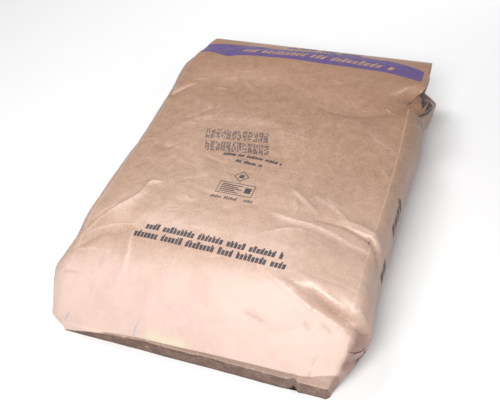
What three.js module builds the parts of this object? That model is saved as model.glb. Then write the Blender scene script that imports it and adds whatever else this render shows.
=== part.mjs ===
// A filled and sealed multiwall kraft paper flour sack, lying on its printed front with the back panel up.
// Millimetres, +Z up. X runs across the sack and Y along it: the near end (-Y) is the sack's squashed bottom,
// and the far end (+Y) its pinched top. The origin is on the floor, under the middle of the bounding box.
//
// The sack is one closed tube of paper: back panel, right gusset, front panel (underneath) and left gusset.
// It is made as a loft of cross-sections. Paper doesn't stretch, so where the sack is thinner, its gussets
// open wider.
import * as THREE from "three";

// Driving dimensions of the flat tube and of the filled sack.
const FACE_WIDTH = 406; // 16 in between the creases of a panel
const GUSSET_DEPTH = 133; // 5 1/4 in gusset, opened out
const LENGTH = 648; // end fold to end fold, as filled
const THICKNESS = 138; // at the crown of the back panel

const HALF_LENGTH = LENGTH / 2;
const HALF_FACE = FACE_WIDTH / 2;

// The near end: the back panel comes down a steep slope to a crease, then a low wall drops to the floor.
const NEAR_SLOPE = 150;
const NEAR_SLOPE_POWER = 2.5;
const NEAR_WALL_LEFT = 20;
const NEAR_WALL_RIGHT = 36;
const NEAR_CORNER_LEFT = { top: 14, foot: 12 }; // the gusset's bulge closes over these lengths,
const NEAR_CORNER_RIGHT = { top: 40, foot: 120 }; // at the upper crease and at the floor
const NEAR_CORNER_POWER = 1.6;
const LEFT_OPENS = 35; // the left gusset stays partly folded, and bulges no further than this,
const LEFT_CLOSES = { by: 15, from: -262, to: -318 }; // and closes a little again towards the near end

// The far end: a wedge that closes on a pinched fold, held up by the back panel.
const FAR_SLOPE = 125;
const FAR_SLOPE_POWER = 2.2;
const FAR_FOLD_HEIGHT = 100;
const FAR_FOLD_THICKNESS = 5;
const FAR_LIFT = 135; // how far in the front panel leaves the floor
const FAR_LIFT_POWER = 1.75;
const FAR_SPLAY = 3; // how far the creases spread at the fold, where the gussets lie flat
const FAR_SPLAY_LENGTH = 90;
const FLAP_LENGTH = 50; // pinch flap, turned over and glued under the far end
const FLAP_THICKNESS = 2.4;
const FLAP_STEP = 0.8; // length of the flap's cut edge along Y

// Each gusset is pinched behind the far fold: an ear, a notch, then a full shoulder. The notch runs slantwise
// down the gusset. It is placed from the far fold: at the upper crease, half way down and at the lower crease.
const LEFT_NOTCH = { atCrease: 84, atMiddle: 42, atFoot: 80, depth: 3 };
const RIGHT_NOTCH = { atCrease: 136, atMiddle: 52, atFoot: 80, depth: 7 };
const NOTCH_REACH = 11;
const NOTCH_RISE = 34; // from the notch to the full shoulder
const EAR_BULGE = 8;

// Swells of the gussets past the bulge that the girth gives (negative is a waist), by station along Y.
const LEFT_SWELLS = [
  { at: 218, reach: 55, swell: 9 },
  { at: -190, reach: 62, swell: -8 },
];
const RIGHT_SWELLS = [
  { at: 218, reach: 45, swell: 5 },
  { at: 118, reach: 80, swell: 8 },
];

// The right upper crease lies further out than the left one, and the right ear's edge further still.
const RIGHT_OUT = 5;
const RIGHT_OUT_FADE = 90;
const EAR_OUT = 12;
const EAR_EDGE = { from: 172, fullFrom: 214, fullTo: 228 }; // stations along Y
const OUT_SHARE = 0.45; // share of the gusset's depth over which it comes back in

// Cross-section.
const CROWN = 17; // back panel's middle above its creases
const CROWN_POWER = 3.2;
const BELLY_LIFT = 17; // lower creases above the floor
const FLAT_SHARE = 0.74; // share of the front panel's half width that lies on the floor
const GUSSET_ROUNDNESS = 0.72;

// The sack lies a little crooked: [station along Y, middle line's offset in X].
const LEAN = [
  [-HALF_LENGTH, -15],
  [-235, -8],
  [0, -3],
  [225, -8],
  [HALF_LENGTH, 4.5],
];

// Facets.
const BACK_FACETS = 36;
const GUSSET_FACETS = 10;
const FRONT_FACETS = 12;
const BODY_STEP = 11; // between cross-sections along the body
const END_STEP = 6; // and along the two ends, where the form turns quickly
const NEAR_ZONE = 78;
const FAR_ZONE = 144;
const NOTCH_ROW = 80; // cross-sections slant so that the one at this station follows both notches,
const SLANT_END = 290; // and are square again from here on

// Broad dents in the back panel: centre, reach across and along, and depth (negative is a rise).
const DENTS = [
  { x: -95, y: 140, reachX: 100, reachY: 34, depth: 5 },
  { x: 70, y: 118, reachX: 70, reachY: 24, depth: 2.5 },
  { x: -40, y: 50, reachX: 120, reachY: 50, depth: -2 },
  { x: 120, y: -55, reachX: 60, reachY: 60, depth: 2 },
];

// Large folds in the back panel: a line of points, the height of its crest (negative is a valley) and how far
// it spreads on either side. Each starts at a gusset, where it is fullest, and fades towards its other end.
const FOLDS = [
  { line: [[206, 186], [194, 158], [150, 112], [60, 104]], height: -11, spread: 19 },
  { line: [[206, 214], [162, 182]], height: 3, spread: 16 },
  { line: [[208, -140], [160, -134], [118, -128]], height: 5, spread: 14 },
  { line: [[206, -168], [148, -158], [58, -147]], height: -5, spread: 17 },
  { line: [[204, -226], [160, -229], [105, -222]], height: 6, spread: 16 },
  { line: [[206, -268], [150, -254], [104, -241]], height: -8, spread: 16 },
  { line: [[-208, -226], [-165, -228], [-126, -224]], height: -4, spread: 15 },
];

function ease(from, to, value) {
  const share = THREE.MathUtils.clamp((value - from) / (to - from), 0, 1);
  return share * share * (3 - 2 * share);
}

// Middle line's offset in X at one station.
function lean(y) {
  return LEAN.slice(1).reduce((x, [station, offset], i) => {
    const [before, start] = LEAN[i];
    return y < before ? x : THREE.MathUtils.lerp(start, offset, ease(before, station, y));
  }, LEAN[0][1]);
}

// How far the gussets bulge past the creases when the sack is this thick: the girth stays the flat tube's.
function girthBulge(thickness) {
  const width = FACE_WIDTH + GUSSET_DEPTH + thickness - (Math.PI / 2) * thickness;
  return (width - FACE_WIDTH) / 2;
}

// How much further than its girth gives a gusset swells at one station.
function swellAt(y, side) {
  const swells = side < 0 ? LEFT_SWELLS : RIGHT_SWELLS;
  return swells.reduce((sum, { at, reach, swell }) => sum + swell * Math.exp(-(((y - at) / reach) ** 2)), 0);
}

// Height of the back panel's middle line, or of the same line shifted to one side (across runs from -1 to 1).
function backHeight(y, across) {
  const near = THREE.MathUtils.clamp((HALF_LENGTH + y) / NEAR_SLOPE, 0, 1);
  const far = THREE.MathUtils.clamp((HALF_LENGTH - y) / FAR_SLOPE, 0, 1);
  const wall = THREE.MathUtils.lerp(NEAR_WALL_LEFT, NEAR_WALL_RIGHT, ease(-0.9, 0.6, across));
  const nearDrop = (THICKNESS - wall) * (1 - near) ** NEAR_SLOPE_POWER;
  const farDrop = (THICKNESS - FAR_FOLD_HEIGHT) * (1 - far) ** FAR_SLOPE_POWER;
  return THICKNESS - nearDrop - farDrop;
}

// Height of the front panel's middle line: on the floor, then up the wedge to the far fold.
function frontHeight(y) {
  const far = HALF_LENGTH - y;
  const lift = THREE.MathUtils.clamp(far / FAR_LIFT, 0, 1);
  const rise = (FAR_FOLD_HEIGHT - FAR_FOLD_THICKNESS) * (1 - lift) ** FAR_LIFT_POWER;
  const flap = FLAP_THICKNESS * (1 - ease(FLAP_LENGTH, FLAP_LENGTH + FLAP_STEP, far));
  return rise - flap * ease(0, FLAP_LENGTH / 2, far);
}

// Distance from a point to a line of points, and how far along the line its foot is, from 0 to 1.
function besideLine(x, y, line) {
  let best = { distance: Infinity, along: 0 };
  const spans = line.length - 1;
  for (let i = 0; i < spans; i += 1) {
    const [ax, ay] = line[i];
    const [bx, by] = line[i + 1];
    const square = (bx - ax) ** 2 + (by - ay) ** 2;
    const share = THREE.MathUtils.clamp(((x - ax) * (bx - ax) + (y - ay) * (by - ay)) / square, 0, 1);
    const distance = Math.hypot(x - ax - share * (bx - ax), y - ay - share * (by - ay));
    if (distance < best.distance) best = { distance, along: (i + share) / spans };
  }
  return best;
}

// Height that the dents and folds add to the back panel.
function relief(x, y) {
  const shown = ease(0, 24, HALF_LENGTH + y) * ease(0, 70, HALF_LENGTH - y);
  const dents = DENTS.reduce((sum, dent) => {
    const reach = ((x - dent.x) / dent.reachX) ** 2 + ((y - dent.y) / dent.reachY) ** 2;
    return sum - dent.depth * Math.exp(-reach);
  }, 0);
  const folds = FOLDS.reduce((sum, fold) => {
    const { distance, along } = besideLine(x, y, fold.line);
    return sum + fold.height * (1 - along) * Math.exp(-((distance / fold.spread) ** 2));
  }, 0);
  return shown * (dents + folds);
}

// Half the width between the creases at one station.
function halfFace(y) {
  return HALF_FACE + FAR_SPLAY * (1 - ease(0, FAR_SPLAY_LENGTH, HALF_LENGTH - y));
}

// How far out the right upper crease lies, beyond half the face.
function rightOut(y) {
  const toEnd = HALF_LENGTH - Math.abs(y);
  const whole = RIGHT_OUT * ease(0, RIGHT_OUT_FADE, toEnd);
  const { from, fullFrom, fullTo } = EAR_EDGE;
  return whole + EAR_OUT * ease(from, fullFrom, y) * (1 - ease(fullTo, HALF_LENGTH, y));
}

// X of a point of the back panel (across runs from -1 to 1).
function panelX(y, across) {
  return lean(y) + across * halfFace(y) + rightOut(y) * Math.max(across, 0) ** 2;
}

// How much higher the back panel's middle is than its creases.
function crownHeight(y) {
  return CROWN * ease(0, 110, HALF_LENGTH + y) * ease(0, 70, HALF_LENGTH - y);
}

// Height of the upper crease on one side, and of the lower crease under it.
function creaseHeights(y, side) {
  const top = backHeight(y, side) - crownHeight(y) + relief(panelX(y, side), y);
  const foot = frontHeight(y) + BELLY_LIFT * ease(0, 70, HALF_LENGTH + y) * ease(20, 160, HALF_LENGTH - y);
  return { top, foot: Math.min(foot, top - FAR_FOLD_THICKNESS / 2) };
}

// Station of a point of the cross-section that starts this far from the far fold.
function slanted(row, target) {
  const slant = row < NOTCH_ROW ? ease(0, NOTCH_ROW, row) : 1 - ease(NOTCH_ROW, SLANT_END, row);
  return HALF_LENGTH - row - (target - NOTCH_ROW) * slant;
}

function backPoint(row, across) {
  const notch = across < 0 ? LEFT_NOTCH : RIGHT_NOTCH;
  const y = slanted(row, THREE.MathUtils.lerp(NOTCH_ROW, notch.atCrease, across ** 2));
  const x = panelX(y, across);
  const z = backHeight(y, across) - crownHeight(y) * Math.abs(across) ** CROWN_POWER;
  return new THREE.Vector3(x, y, z + relief(x, y));
}

// Share runs from 0 at the upper crease to 1 at the lower one.
function gussetPoint(row, side, share) {
  const notch = side < 0 ? LEFT_NOTCH : RIGHT_NOTCH;
  const upper = THREE.MathUtils.lerp(notch.atCrease, notch.atMiddle, 2 * share);
  const lower = THREE.MathUtils.lerp(notch.atMiddle, notch.atFoot, 2 * share - 1);
  const y = slanted(row, share < 0.5 ? upper : lower);
  const { top, foot } = creaseHeights(y, side);
  const nearCorner = side < 0 ? NEAR_CORNER_LEFT : NEAR_CORNER_RIGHT;
  const corner = THREE.MathUtils.lerp(nearCorner.top, nearCorner.foot, share);
  const cornerGap = 1 - Math.min((HALF_LENGTH + y) / corner, 1);
  const free = girthBulge(Math.max(backHeight(y, side) - frontHeight(y), 0)) + swellAt(y, side);
  const closed = LEFT_CLOSES.by * ease(-LEFT_CLOSES.from, -LEFT_CLOSES.to, -y);
  const bulge = side < 0 ? Math.min(free, LEFT_OPENS) - closed : free;
  const body = bulge * (1 - cornerGap ** NEAR_CORNER_POWER);
  const ear = EAR_BULGE * ease(0, NOTCH_ROW, row);
  const full = THREE.MathUtils.lerp(ear, body, ease(NOTCH_ROW, NOTCH_ROW + NOTCH_RISE, row));
  const pinch = notch.depth * Math.exp(-(((row - NOTCH_ROW) / NOTCH_REACH) ** 2));
  const reach = (full - pinch) * Math.sin(Math.PI * share) ** GUSSET_ROUNDNESS;
  const out = side < 0 ? 0 : rightOut(y) * (1 - ease(0, OUT_SHARE, share));
  const x = lean(y) + side * (halfFace(y) + reach) + out;
  return new THREE.Vector3(x, y, THREE.MathUtils.lerp(top, foot, share));
}

function frontPoint(row, across) {
  const y = HALF_LENGTH - row;
  const { foot } = creaseHeights(y, Math.sign(across) || 1);
  const share = THREE.MathUtils.clamp((Math.abs(across) - FLAT_SHARE) / (1 - FLAT_SHARE), 0, 1) ** 2;
  const z = THREE.MathUtils.lerp(frontHeight(y), foot, share);
  return new THREE.Vector3(lean(y) + across * halfFace(y), y, z);
}

// The sack's girth at one row, starting at the left crease and going over the top.
function section(row) {
  const strip = (count, point) => Array.from({ length: count }, (unused, i) => point(i / count));
  return [
    ...strip(BACK_FACETS, (share) => backPoint(row, 2 * share - 1)),
    ...strip(GUSSET_FACETS, (share) => gussetPoint(row, 1, share)),
    ...strip(FRONT_FACETS, (share) => frontPoint(row, 1 - 2 * share)),
    ...strip(GUSSET_FACETS, (share) => gussetPoint(row, -1, 1 - share)),
  ];
}

// Rows by distance from the far fold: closer together at the ends, with a pair for the flap's cut edge.
function sackRows() {
  const bands = [
    { from: LENGTH, to: LENGTH - NEAR_ZONE, step: END_STEP },
    { from: LENGTH - NEAR_ZONE, to: FAR_ZONE, step: BODY_STEP },
    { from: FAR_ZONE, to: FLAP_LENGTH + FLAP_STEP, step: END_STEP },
    { from: FLAP_LENGTH + FLAP_STEP, to: FLAP_LENGTH, step: FLAP_STEP },
    { from: FLAP_LENGTH, to: 0, step: END_STEP },
  ];
  const rows = bands.flatMap(({ from, to, step }) => {
    const count = Math.round((from - to) / step);
    return Array.from({ length: count }, (unused, i) => THREE.MathUtils.lerp(from, to, i / count));
  });
  return [...rows, 0];
}

// A closed skin over all sections, with a fan over each end.
function loft(rows) {
  const rings = rows.map(section);
  const around = rings[0].length;
  const positions = rings.flat().flatMap((point) => point.toArray());
  const indices = [];
  const next = (i) => (i + 1) % around;
  for (let row = 0; row < rings.length - 1; row += 1) {
    for (let i = 0; i < around; i += 1) {
      const a = row * around + i;
      const b = row * around + next(i);
      indices.push(a, b, a + around, b, b + around, a + around);
    }
  }
  const cap = (ring, first, outward) => {
    const hub = positions.length / 3;
    const centre = ring.reduce((sum, point) => sum.add(point), new THREE.Vector3()).divideScalar(around);
    positions.push(...centre.toArray());
    for (let i = 0; i < around; i += 1) {
      const edge = [first + i, first + next(i)];
      indices.push(hub, ...(outward < 0 ? edge.reverse() : edge));
    }
  };
  cap(rings[0], 0, -1);
  cap(rings.at(-1), (rings.length - 1) * around, 1);
  const geometry = new THREE.BufferGeometry();
  geometry.setAttribute("position", new THREE.Float32BufferAttribute(positions, 3));
  geometry.setIndex(indices);
  return geometry;
}

// Puts the middle of the bounding box over the origin, with the lowest face on the floor.
function standOnOrigin(geometry) {
  geometry.computeBoundingBox();
  const { min, max } = geometry.boundingBox;
  geometry.translate(-(min.x + max.x) / 2, -(min.y + max.y) / 2, -min.z);
  geometry.computeVertexNormals();
  return geometry;
}

const kraft = new THREE.MeshStandardMaterial({ name: "kraft paper", color: 0xc29a7c, roughness: 0.72 });
const sack = new THREE.Mesh(standOnOrigin(loft(sackRows())), kraft);
sack.name = "flour_sack";

const group = new THREE.Group();
group.add(sack);
export default group;
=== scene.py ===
# %% [markdown]
# ## A sack of flour, lying on its face
#
# The object is a multiwall kraft paper sack: one flat tube of brown paper with a gusset down each side, filled
# with flour, folded shut at both ends and laid on its printed front. We look at its plain back.
#
# The solid that the library keeps is already the right size and shape. This lesson dresses it: the same paper
# form at a much finer grain, with its creases, a paper finish, the print, and a plain studio round it.

import math

import bmesh
import bpy
import numpy as np
from mathutils import Matrix, Vector


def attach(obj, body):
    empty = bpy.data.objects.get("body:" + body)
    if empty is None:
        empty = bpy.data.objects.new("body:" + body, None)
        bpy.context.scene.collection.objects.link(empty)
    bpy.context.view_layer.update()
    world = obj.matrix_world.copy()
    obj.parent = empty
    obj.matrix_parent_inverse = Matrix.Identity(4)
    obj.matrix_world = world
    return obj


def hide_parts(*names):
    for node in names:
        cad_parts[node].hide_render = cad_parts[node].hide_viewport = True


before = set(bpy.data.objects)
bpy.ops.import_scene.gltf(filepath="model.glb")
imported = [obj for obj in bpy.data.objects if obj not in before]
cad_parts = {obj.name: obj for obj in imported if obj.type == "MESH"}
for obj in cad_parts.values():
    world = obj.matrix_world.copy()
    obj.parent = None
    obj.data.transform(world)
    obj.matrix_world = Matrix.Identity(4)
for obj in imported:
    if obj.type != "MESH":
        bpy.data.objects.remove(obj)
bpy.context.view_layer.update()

# %% [markdown]
# ### The flat tube and the filled sack
#
# A paper sack starts as a flat tube. Its girth never changes, because paper doesn't stretch: where the sack is
# squashed thinner, the gussets must open wider. We could push a box about by hand until it looked right, but a
# rule gives a better sack, so every point is worked out from the tube's real sizes. All the sizes in this cell
# are in millimetres, and are the ones the solid was made with, but for the near left corner, which is a little
# squarer here.

# %% Sizes of the tube and the sack, in millimetres
MM = 0.001
FACE_WIDTH = 406.0
GUSSET_DEPTH = 133.0
LENGTH = 648.0
THICKNESS = 138.0
HALF_LENGTH = LENGTH / 2
HALF_FACE = FACE_WIDTH / 2

NEAR_SLOPE, NEAR_SLOPE_POWER = 150.0, 2.5
NEAR_WALL_LEFT, NEAR_WALL_RIGHT = 20.0, 36.0
NEAR_CORNERS = {-1: (9.0, 7.0), 1: (40.0, 120.0)}  # lengths at the upper crease and at the floor, left and right
NEAR_CORNER_POWER = 1.6
LEFT_OPENS, LEFT_CLOSES_BY, LEFT_CLOSES_FROM, LEFT_CLOSES_TO = 35.0, 15.0, -262.0, -318.0
FAR_SLOPE, FAR_SLOPE_POWER = 125.0, 2.2
FAR_FOLD_HEIGHT, FAR_FOLD_THICKNESS = 100.0, 5.0
FAR_LIFT, FAR_LIFT_POWER = 135.0, 1.75
FAR_SPLAY, FAR_SPLAY_LENGTH = 3.0, 90.0
FLAP_LENGTH, FLAP_THICKNESS, FLAP_STEP = 50.0, 2.4, 0.8

LEFT_NOTCH = {"at_crease": 84.0, "at_middle": 42.0, "at_foot": 80.0, "depth": 3.0}
RIGHT_NOTCH = {"at_crease": 136.0, "at_middle": 52.0, "at_foot": 80.0, "depth": 7.0}
NOTCH_ROW, SLANT_END = 80.0, 290.0
NOTCH_REACH, NOTCH_RISE, EAR_BULGE = 11.0, 34.0, 8.0
SWELLS = {-1: [(218.0, 55.0, 9.0), (-190.0, 62.0, -8.0)], 1: [(218.0, 45.0, 5.0), (118.0, 80.0, 8.0)]}
RIGHT_OUT, RIGHT_OUT_FADE, OUT_SHARE = 5.0, 90.0, 0.45
EAR_OUT, EAR_FROM, EAR_FULL_FROM, EAR_FULL_TO = 12.0, 172.0, 214.0, 228.0

CROWN, CROWN_POWER = 17.0, 3.2
BELLY_LIFT, FLAT_SHARE, GUSSET_ROUNDNESS = 17.0, 0.74, 0.72
LEAN = [(-HALF_LENGTH, -15.0), (-235.0, -8.0), (0.0, -3.0), (225.0, -8.0), (HALF_LENGTH, 4.5)]
print("flat tube girth:", 2 * (FACE_WIDTH + GUSSET_DEPTH), "mm")


# %% Small helpers that every shape rule uses
def ease(start, end, value):
    """A smooth step from 0 at start to 1 at end."""
    share = np.clip((value - start) / (end - start), 0, 1)
    return share * share * (3 - 2 * share)


def mix(a, b, share):
    return a + (b - a) * share


def lean(y):
    """Middle line's offset in X: the sack lies a little crooked."""
    x = np.full_like(y, LEAN[0][1])
    for (before, start), (station, offset) in zip(LEAN[:-1], LEAN[1:]):
        x = np.where(y >= before, mix(start, offset, ease(before, station, y)), x)
    return x


def beside_line(x, y, line):
    """Signed distance from a line of points (plus on its left), and how far along it, from 0 to 1."""
    best = np.full(np.broadcast(x, y).shape, np.inf)
    signed = np.zeros_like(best)
    along = np.zeros_like(best)
    spans = len(line) - 1
    for i, ((ax, ay), (bx, by)) in enumerate(zip(line[:-1], line[1:])):
        square = (bx - ax) ** 2 + (by - ay) ** 2
        share = np.clip(((x - ax) * (bx - ax) + (y - ay) * (by - ay)) / square, 0, 1)
        gap_x, gap_y = x - ax - share * (bx - ax), y - ay - share * (by - ay)
        distance = np.hypot(gap_x, gap_y)
        side = np.sign((bx - ax) * (y - ay) - (by - ay) * (x - ax))
        closer = distance < best
        best = np.where(closer, distance, best)
        signed = np.where(closer, side * distance, signed)
        along = np.where(closer, (i + share) / spans, along)
    return signed, along


# %% [markdown]
# ### Broad dents and main folds
#
# Flour packs unevenly, so the back panel has shallow dents a hand wide. Where the gusset was pinched or the end
# was squashed, long folds run in from the crease and die out. They are soft bumps added to the height of the
# panel: a bell shape round a point for a dent, and a bell shape across a line for a fold.

# %% Dents and main folds of the back panel
DENTS = [
    # centre x, y, reach across and along, depth
    (-95.0, 140.0, 100.0, 34.0, 5.0),
    (70.0, 118.0, 70.0, 24.0, 2.5),
    (-40.0, 50.0, 120.0, 50.0, -2.0),
    (120.0, -55.0, 60.0, 60.0, 2.0),
    (118.0, -243.0, 28.0, 9.0, -2.4),
]
MAIN_FOLDS = [
    # line, height of the crest (negative is a valley), spread
    ([(206, 186), (194, 158), (150, 112), (60, 104)], -11.0, 19.0),
    ([(206, 214), (162, 182)], 3.0, 16.0),
    ([(208, -140), (160, -134), (118, -128)], 5.0, 14.0),
    ([(206, -168), (148, -158), (58, -147)], -5.0, 17.0),
    ([(204, -233), (160, -236), (105, -229)], 3.2, 13.0),
    ([(206, -268), (150, -254), (104, -241)], -6.5, 12.0),
    ([(-208, -226), (-165, -228), (-126, -224)], -4.0, 15.0),
]


def relief(x, y):
    """Height that the dents and main folds add to the back panel."""
    total = np.zeros(np.broadcast(x, y).shape)
    for dent_x, dent_y, reach_x, reach_y, depth in DENTS:
        total -= depth * np.exp(-(((x - dent_x) / reach_x) ** 2) - ((y - dent_y) / reach_y) ** 2)
    for line, height, spread in MAIN_FOLDS:
        distance, along = beside_line(x, y, line)
        total += height * (1 - along) * np.exp(-((distance / spread) ** 2))
    return total * ease(0, 24, HALF_LENGTH + y) * ease(0, 70, HALF_LENGTH - y)


# %% [markdown]
# ### The rules for a cross-section
#
# Four strips make the girth: back panel, right gusset, front panel (underneath) and left gusset. The back
# panel's height comes down a steep slope at the near end and a gentle one at the far end. The front panel lies
# on the floor and rises to the far fold. The gussets stand out by what the girth leaves over.


# %% Heights of the panels
def back_height(y, across):
    near = np.clip((HALF_LENGTH + y) / NEAR_SLOPE, 0, 1)
    far = np.clip((HALF_LENGTH - y) / FAR_SLOPE, 0, 1)
    wall = mix(NEAR_WALL_LEFT, NEAR_WALL_RIGHT, ease(-0.9, 0.6, across))
    near_drop = (THICKNESS - wall) * (1 - near) ** NEAR_SLOPE_POWER
    return THICKNESS - near_drop - (THICKNESS - FAR_FOLD_HEIGHT) * (1 - far) ** FAR_SLOPE_POWER


def front_height(y):
    far = HALF_LENGTH - y
    lift = np.clip(far / FAR_LIFT, 0, 1)
    flap = FLAP_THICKNESS * (1 - ease(FLAP_LENGTH, FLAP_LENGTH + FLAP_STEP, far))
    rise = (FAR_FOLD_HEIGHT - FAR_FOLD_THICKNESS) * (1 - lift) ** FAR_LIFT_POWER
    return rise - flap * ease(0, FLAP_LENGTH / 2, far)


def half_face(y):
    return HALF_FACE + FAR_SPLAY * (1 - ease(0, FAR_SPLAY_LENGTH, HALF_LENGTH - y))


def right_out(y):
    """How far out the right upper crease lies, and the ear's edge further still."""
    whole = RIGHT_OUT * ease(0, RIGHT_OUT_FADE, HALF_LENGTH - np.abs(y))
    return whole + EAR_OUT * ease(EAR_FROM, EAR_FULL_FROM, y) * (1 - ease(EAR_FULL_TO, HALF_LENGTH, y))


def panel_x(y, across):
    return lean(y) + across * half_face(y) + right_out(y) * np.maximum(across, 0) ** 2


def crown_height(y):
    return CROWN * ease(0, 110, HALF_LENGTH + y) * ease(0, 70, HALF_LENGTH - y)


def crease_heights(y, side):
    """Heights of the upper and the lower crease on one side."""
    top = back_height(y, side) - crown_height(y) + relief(panel_x(y, side), y)
    foot = front_height(y) + BELLY_LIFT * ease(0, 70, HALF_LENGTH + y) * ease(20, 160, HALF_LENGTH - y)
    return top, np.minimum(foot, top - FAR_FOLD_THICKNESS / 2)


# %% Points of the back panel, a gusset and the front panel
def slanted(row, target):
    """Rows slant near the far end, so that one of them runs down each gusset's notch."""
    slant = np.where(row < NOTCH_ROW, ease(0, NOTCH_ROW, row), 1 - ease(NOTCH_ROW, SLANT_END, row))
    return HALF_LENGTH - row - (target - NOTCH_ROW) * slant


def back_points(row, across):
    at_crease = np.where(across < 0, LEFT_NOTCH["at_crease"], RIGHT_NOTCH["at_crease"])
    y = slanted(row, mix(NOTCH_ROW, at_crease, across**2))
    x = panel_x(y, across)
    z = back_height(y, across) - crown_height(y) * np.abs(across) ** CROWN_POWER
    return np.stack([x, y, z + relief(x, y)], axis=-1)


def gusset_points(row, side, share):
    """Share runs from 0 at the upper crease to 1 at the lower one."""
    notch = LEFT_NOTCH if side < 0 else RIGHT_NOTCH
    upper = mix(notch["at_crease"], notch["at_middle"], 2 * share)
    lower = mix(notch["at_middle"], notch["at_foot"], 2 * share - 1)
    y = slanted(row, np.where(share < 0.5, upper, lower))
    top, foot = crease_heights(y, side)
    girth_gives = (GUSSET_DEPTH + (1 - math.pi / 2) * np.maximum(back_height(y, side) - front_height(y), 0)) / 2
    bulge = girth_gives + sum(swell * np.exp(-(((y - at) / far) ** 2)) for at, far, swell in SWELLS[side])
    if side < 0:
        closed = LEFT_CLOSES_BY * ease(-LEFT_CLOSES_FROM, -LEFT_CLOSES_TO, -y)
        bulge = np.minimum(bulge, LEFT_OPENS) - closed
    corner_gap = 1 - np.minimum((HALF_LENGTH + y) / mix(*NEAR_CORNERS[side], share), 1)
    body = bulge * (1 - np.maximum(corner_gap, 0) ** NEAR_CORNER_POWER)
    ear = EAR_BULGE * ease(0, NOTCH_ROW, row)
    full = mix(ear, body, ease(NOTCH_ROW, NOTCH_ROW + NOTCH_RISE, row))
    pinch = notch["depth"] * np.exp(-(((row - NOTCH_ROW) / NOTCH_REACH) ** 2))
    reach = (full - pinch) * np.maximum(np.sin(math.pi * share), 0) ** GUSSET_ROUNDNESS
    out = right_out(y) * (1 - ease(0, OUT_SHARE, share)) if side > 0 else 0
    return np.stack([lean(y) + side * (half_face(y) + reach) + out, y, mix(top, foot, share)], axis=-1)


def front_points(row, across):
    y = HALF_LENGTH - row + 0 * across
    foot = np.where(across < 0, crease_heights(y, -1)[1], crease_heights(y, 1)[1])
    share = np.clip((np.abs(across) - FLAT_SHARE) / (1 - FLAT_SHARE), 0, 1) ** 2
    return np.stack([lean(y) + across * half_face(y), y, mix(front_height(y), foot, share)], axis=-1)


# %% [markdown]
# ### The girth as a grid
#
# The sack becomes a grid of points: rows along its length, and columns round its girth. The back panel gets the
# most columns, because it is what we look at. Each point also keeps its place on the flat paper, U across the
# girth and V along the sack, in metres. U is 0 down the middle of the back panel. That is the sack's UV map, and
# the print is laid out on it as a printer would lay it out, flat.

# %% Rows and columns
BACK_COLUMNS, GUSSET_COLUMNS, FRONT_COLUMNS = 180, 24, 36
ROW_SPACING = 2.0
GIRTH = 2 * (FACE_WIDTH + GUSSET_DEPTH)

bands = [(LENGTH, FLAP_LENGTH + FLAP_STEP), (FLAP_LENGTH, 0.0)]
rows = np.concatenate([np.linspace(a, b, round((a - b) / ROW_SPACING)) for a, b in bands])[:, None]


def shares(count):
    """Even steps from 0 towards 1, leaving 1 itself to the next strip."""
    return np.arange(count)[None, :] / count


sack_grid = np.concatenate(
    [
        back_points(rows, 2 * shares(BACK_COLUMNS) - 1),
        gusset_points(rows, 1, shares(GUSSET_COLUMNS)),
        front_points(rows, 1 - 2 * shares(FRONT_COLUMNS)),
        gusset_points(rows, -1, 1 - shares(GUSSET_COLUMNS)),
    ],
    axis=1,
)
strip_widths = [FACE_WIDTH, GUSSET_DEPTH, FACE_WIDTH, GUSSET_DEPTH]
strip_columns = [BACK_COLUMNS, GUSSET_COLUMNS, FRONT_COLUMNS, GUSSET_COLUMNS]
strip_starts = np.cumsum([-HALF_FACE] + strip_widths[:-1])
flat_u = np.concatenate([start + shares(count)[0] * width for start, width, count in
                         zip(strip_starts, strip_widths, strip_columns)])
AROUND = len(flat_u)
SEAM_COLUMN = BACK_COLUMNS + GUSSET_COLUMNS + FRONT_COLUMNS // 2
middle_x = (sack_grid[:, :, 0].min() + sack_grid[:, :, 0].max()) / 2
print("grid:", len(rows), "rows,", AROUND, "columns, middle at x", round(float(middle_x), 2), "mm")

# %% [markdown]
# ### Creases and crumple
#
# Stiff paper doesn't wrinkle like cloth. It stays flat, then breaks along straight lines: a sharp crest or
# valley with one steep flank and one gentle one. So each crease is a line of points on the back panel with its
# own height and its own width on either side. Between them the paper is only slightly uneven, which a smooth
# random height gives. Cloth simulation would make folds too round and too soft for paper.

# %% A smooth random height, and a crease
RANDOM_LATTICE = 64


def uneven(u, v, size, seed):
    """Smooth random height from -1 to 1 that changes over size millimetres."""
    lattice = np.random.default_rng(seed).uniform(-1, 1, (RANDOM_LATTICE, RANDOM_LATTICE))
    a, b = u / size, v / size
    i, j = np.floor(a).astype(int), np.floor(b).astype(int)
    s, t = ease(0, 1, a - i), ease(0, 1, b - j)
    i0, j0, i1, j1 = (k % RANDOM_LATTICE for k in (i, j, i + 1, j + 1))
    near_side = mix(lattice[i0, j0], lattice[i1, j0], s)
    return mix(near_side, mix(lattice[i0, j1], lattice[i1, j1], s), t)


def crease(x, y, line, height, left_width, right_width, fades="both"):
    """Height of one crease. Its two flanks have their own widths, and it fades at its ends."""
    distance, along = beside_line(x, y, line)
    width = np.where(distance > 0, left_width, right_width)
    strength = (1 - along) ** 0.6 if fades == "end" else np.sin(math.pi * np.clip(along, 0.02, 0.98)) ** 0.5
    return height * strength * np.exp(-np.abs(distance) / width)


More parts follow.
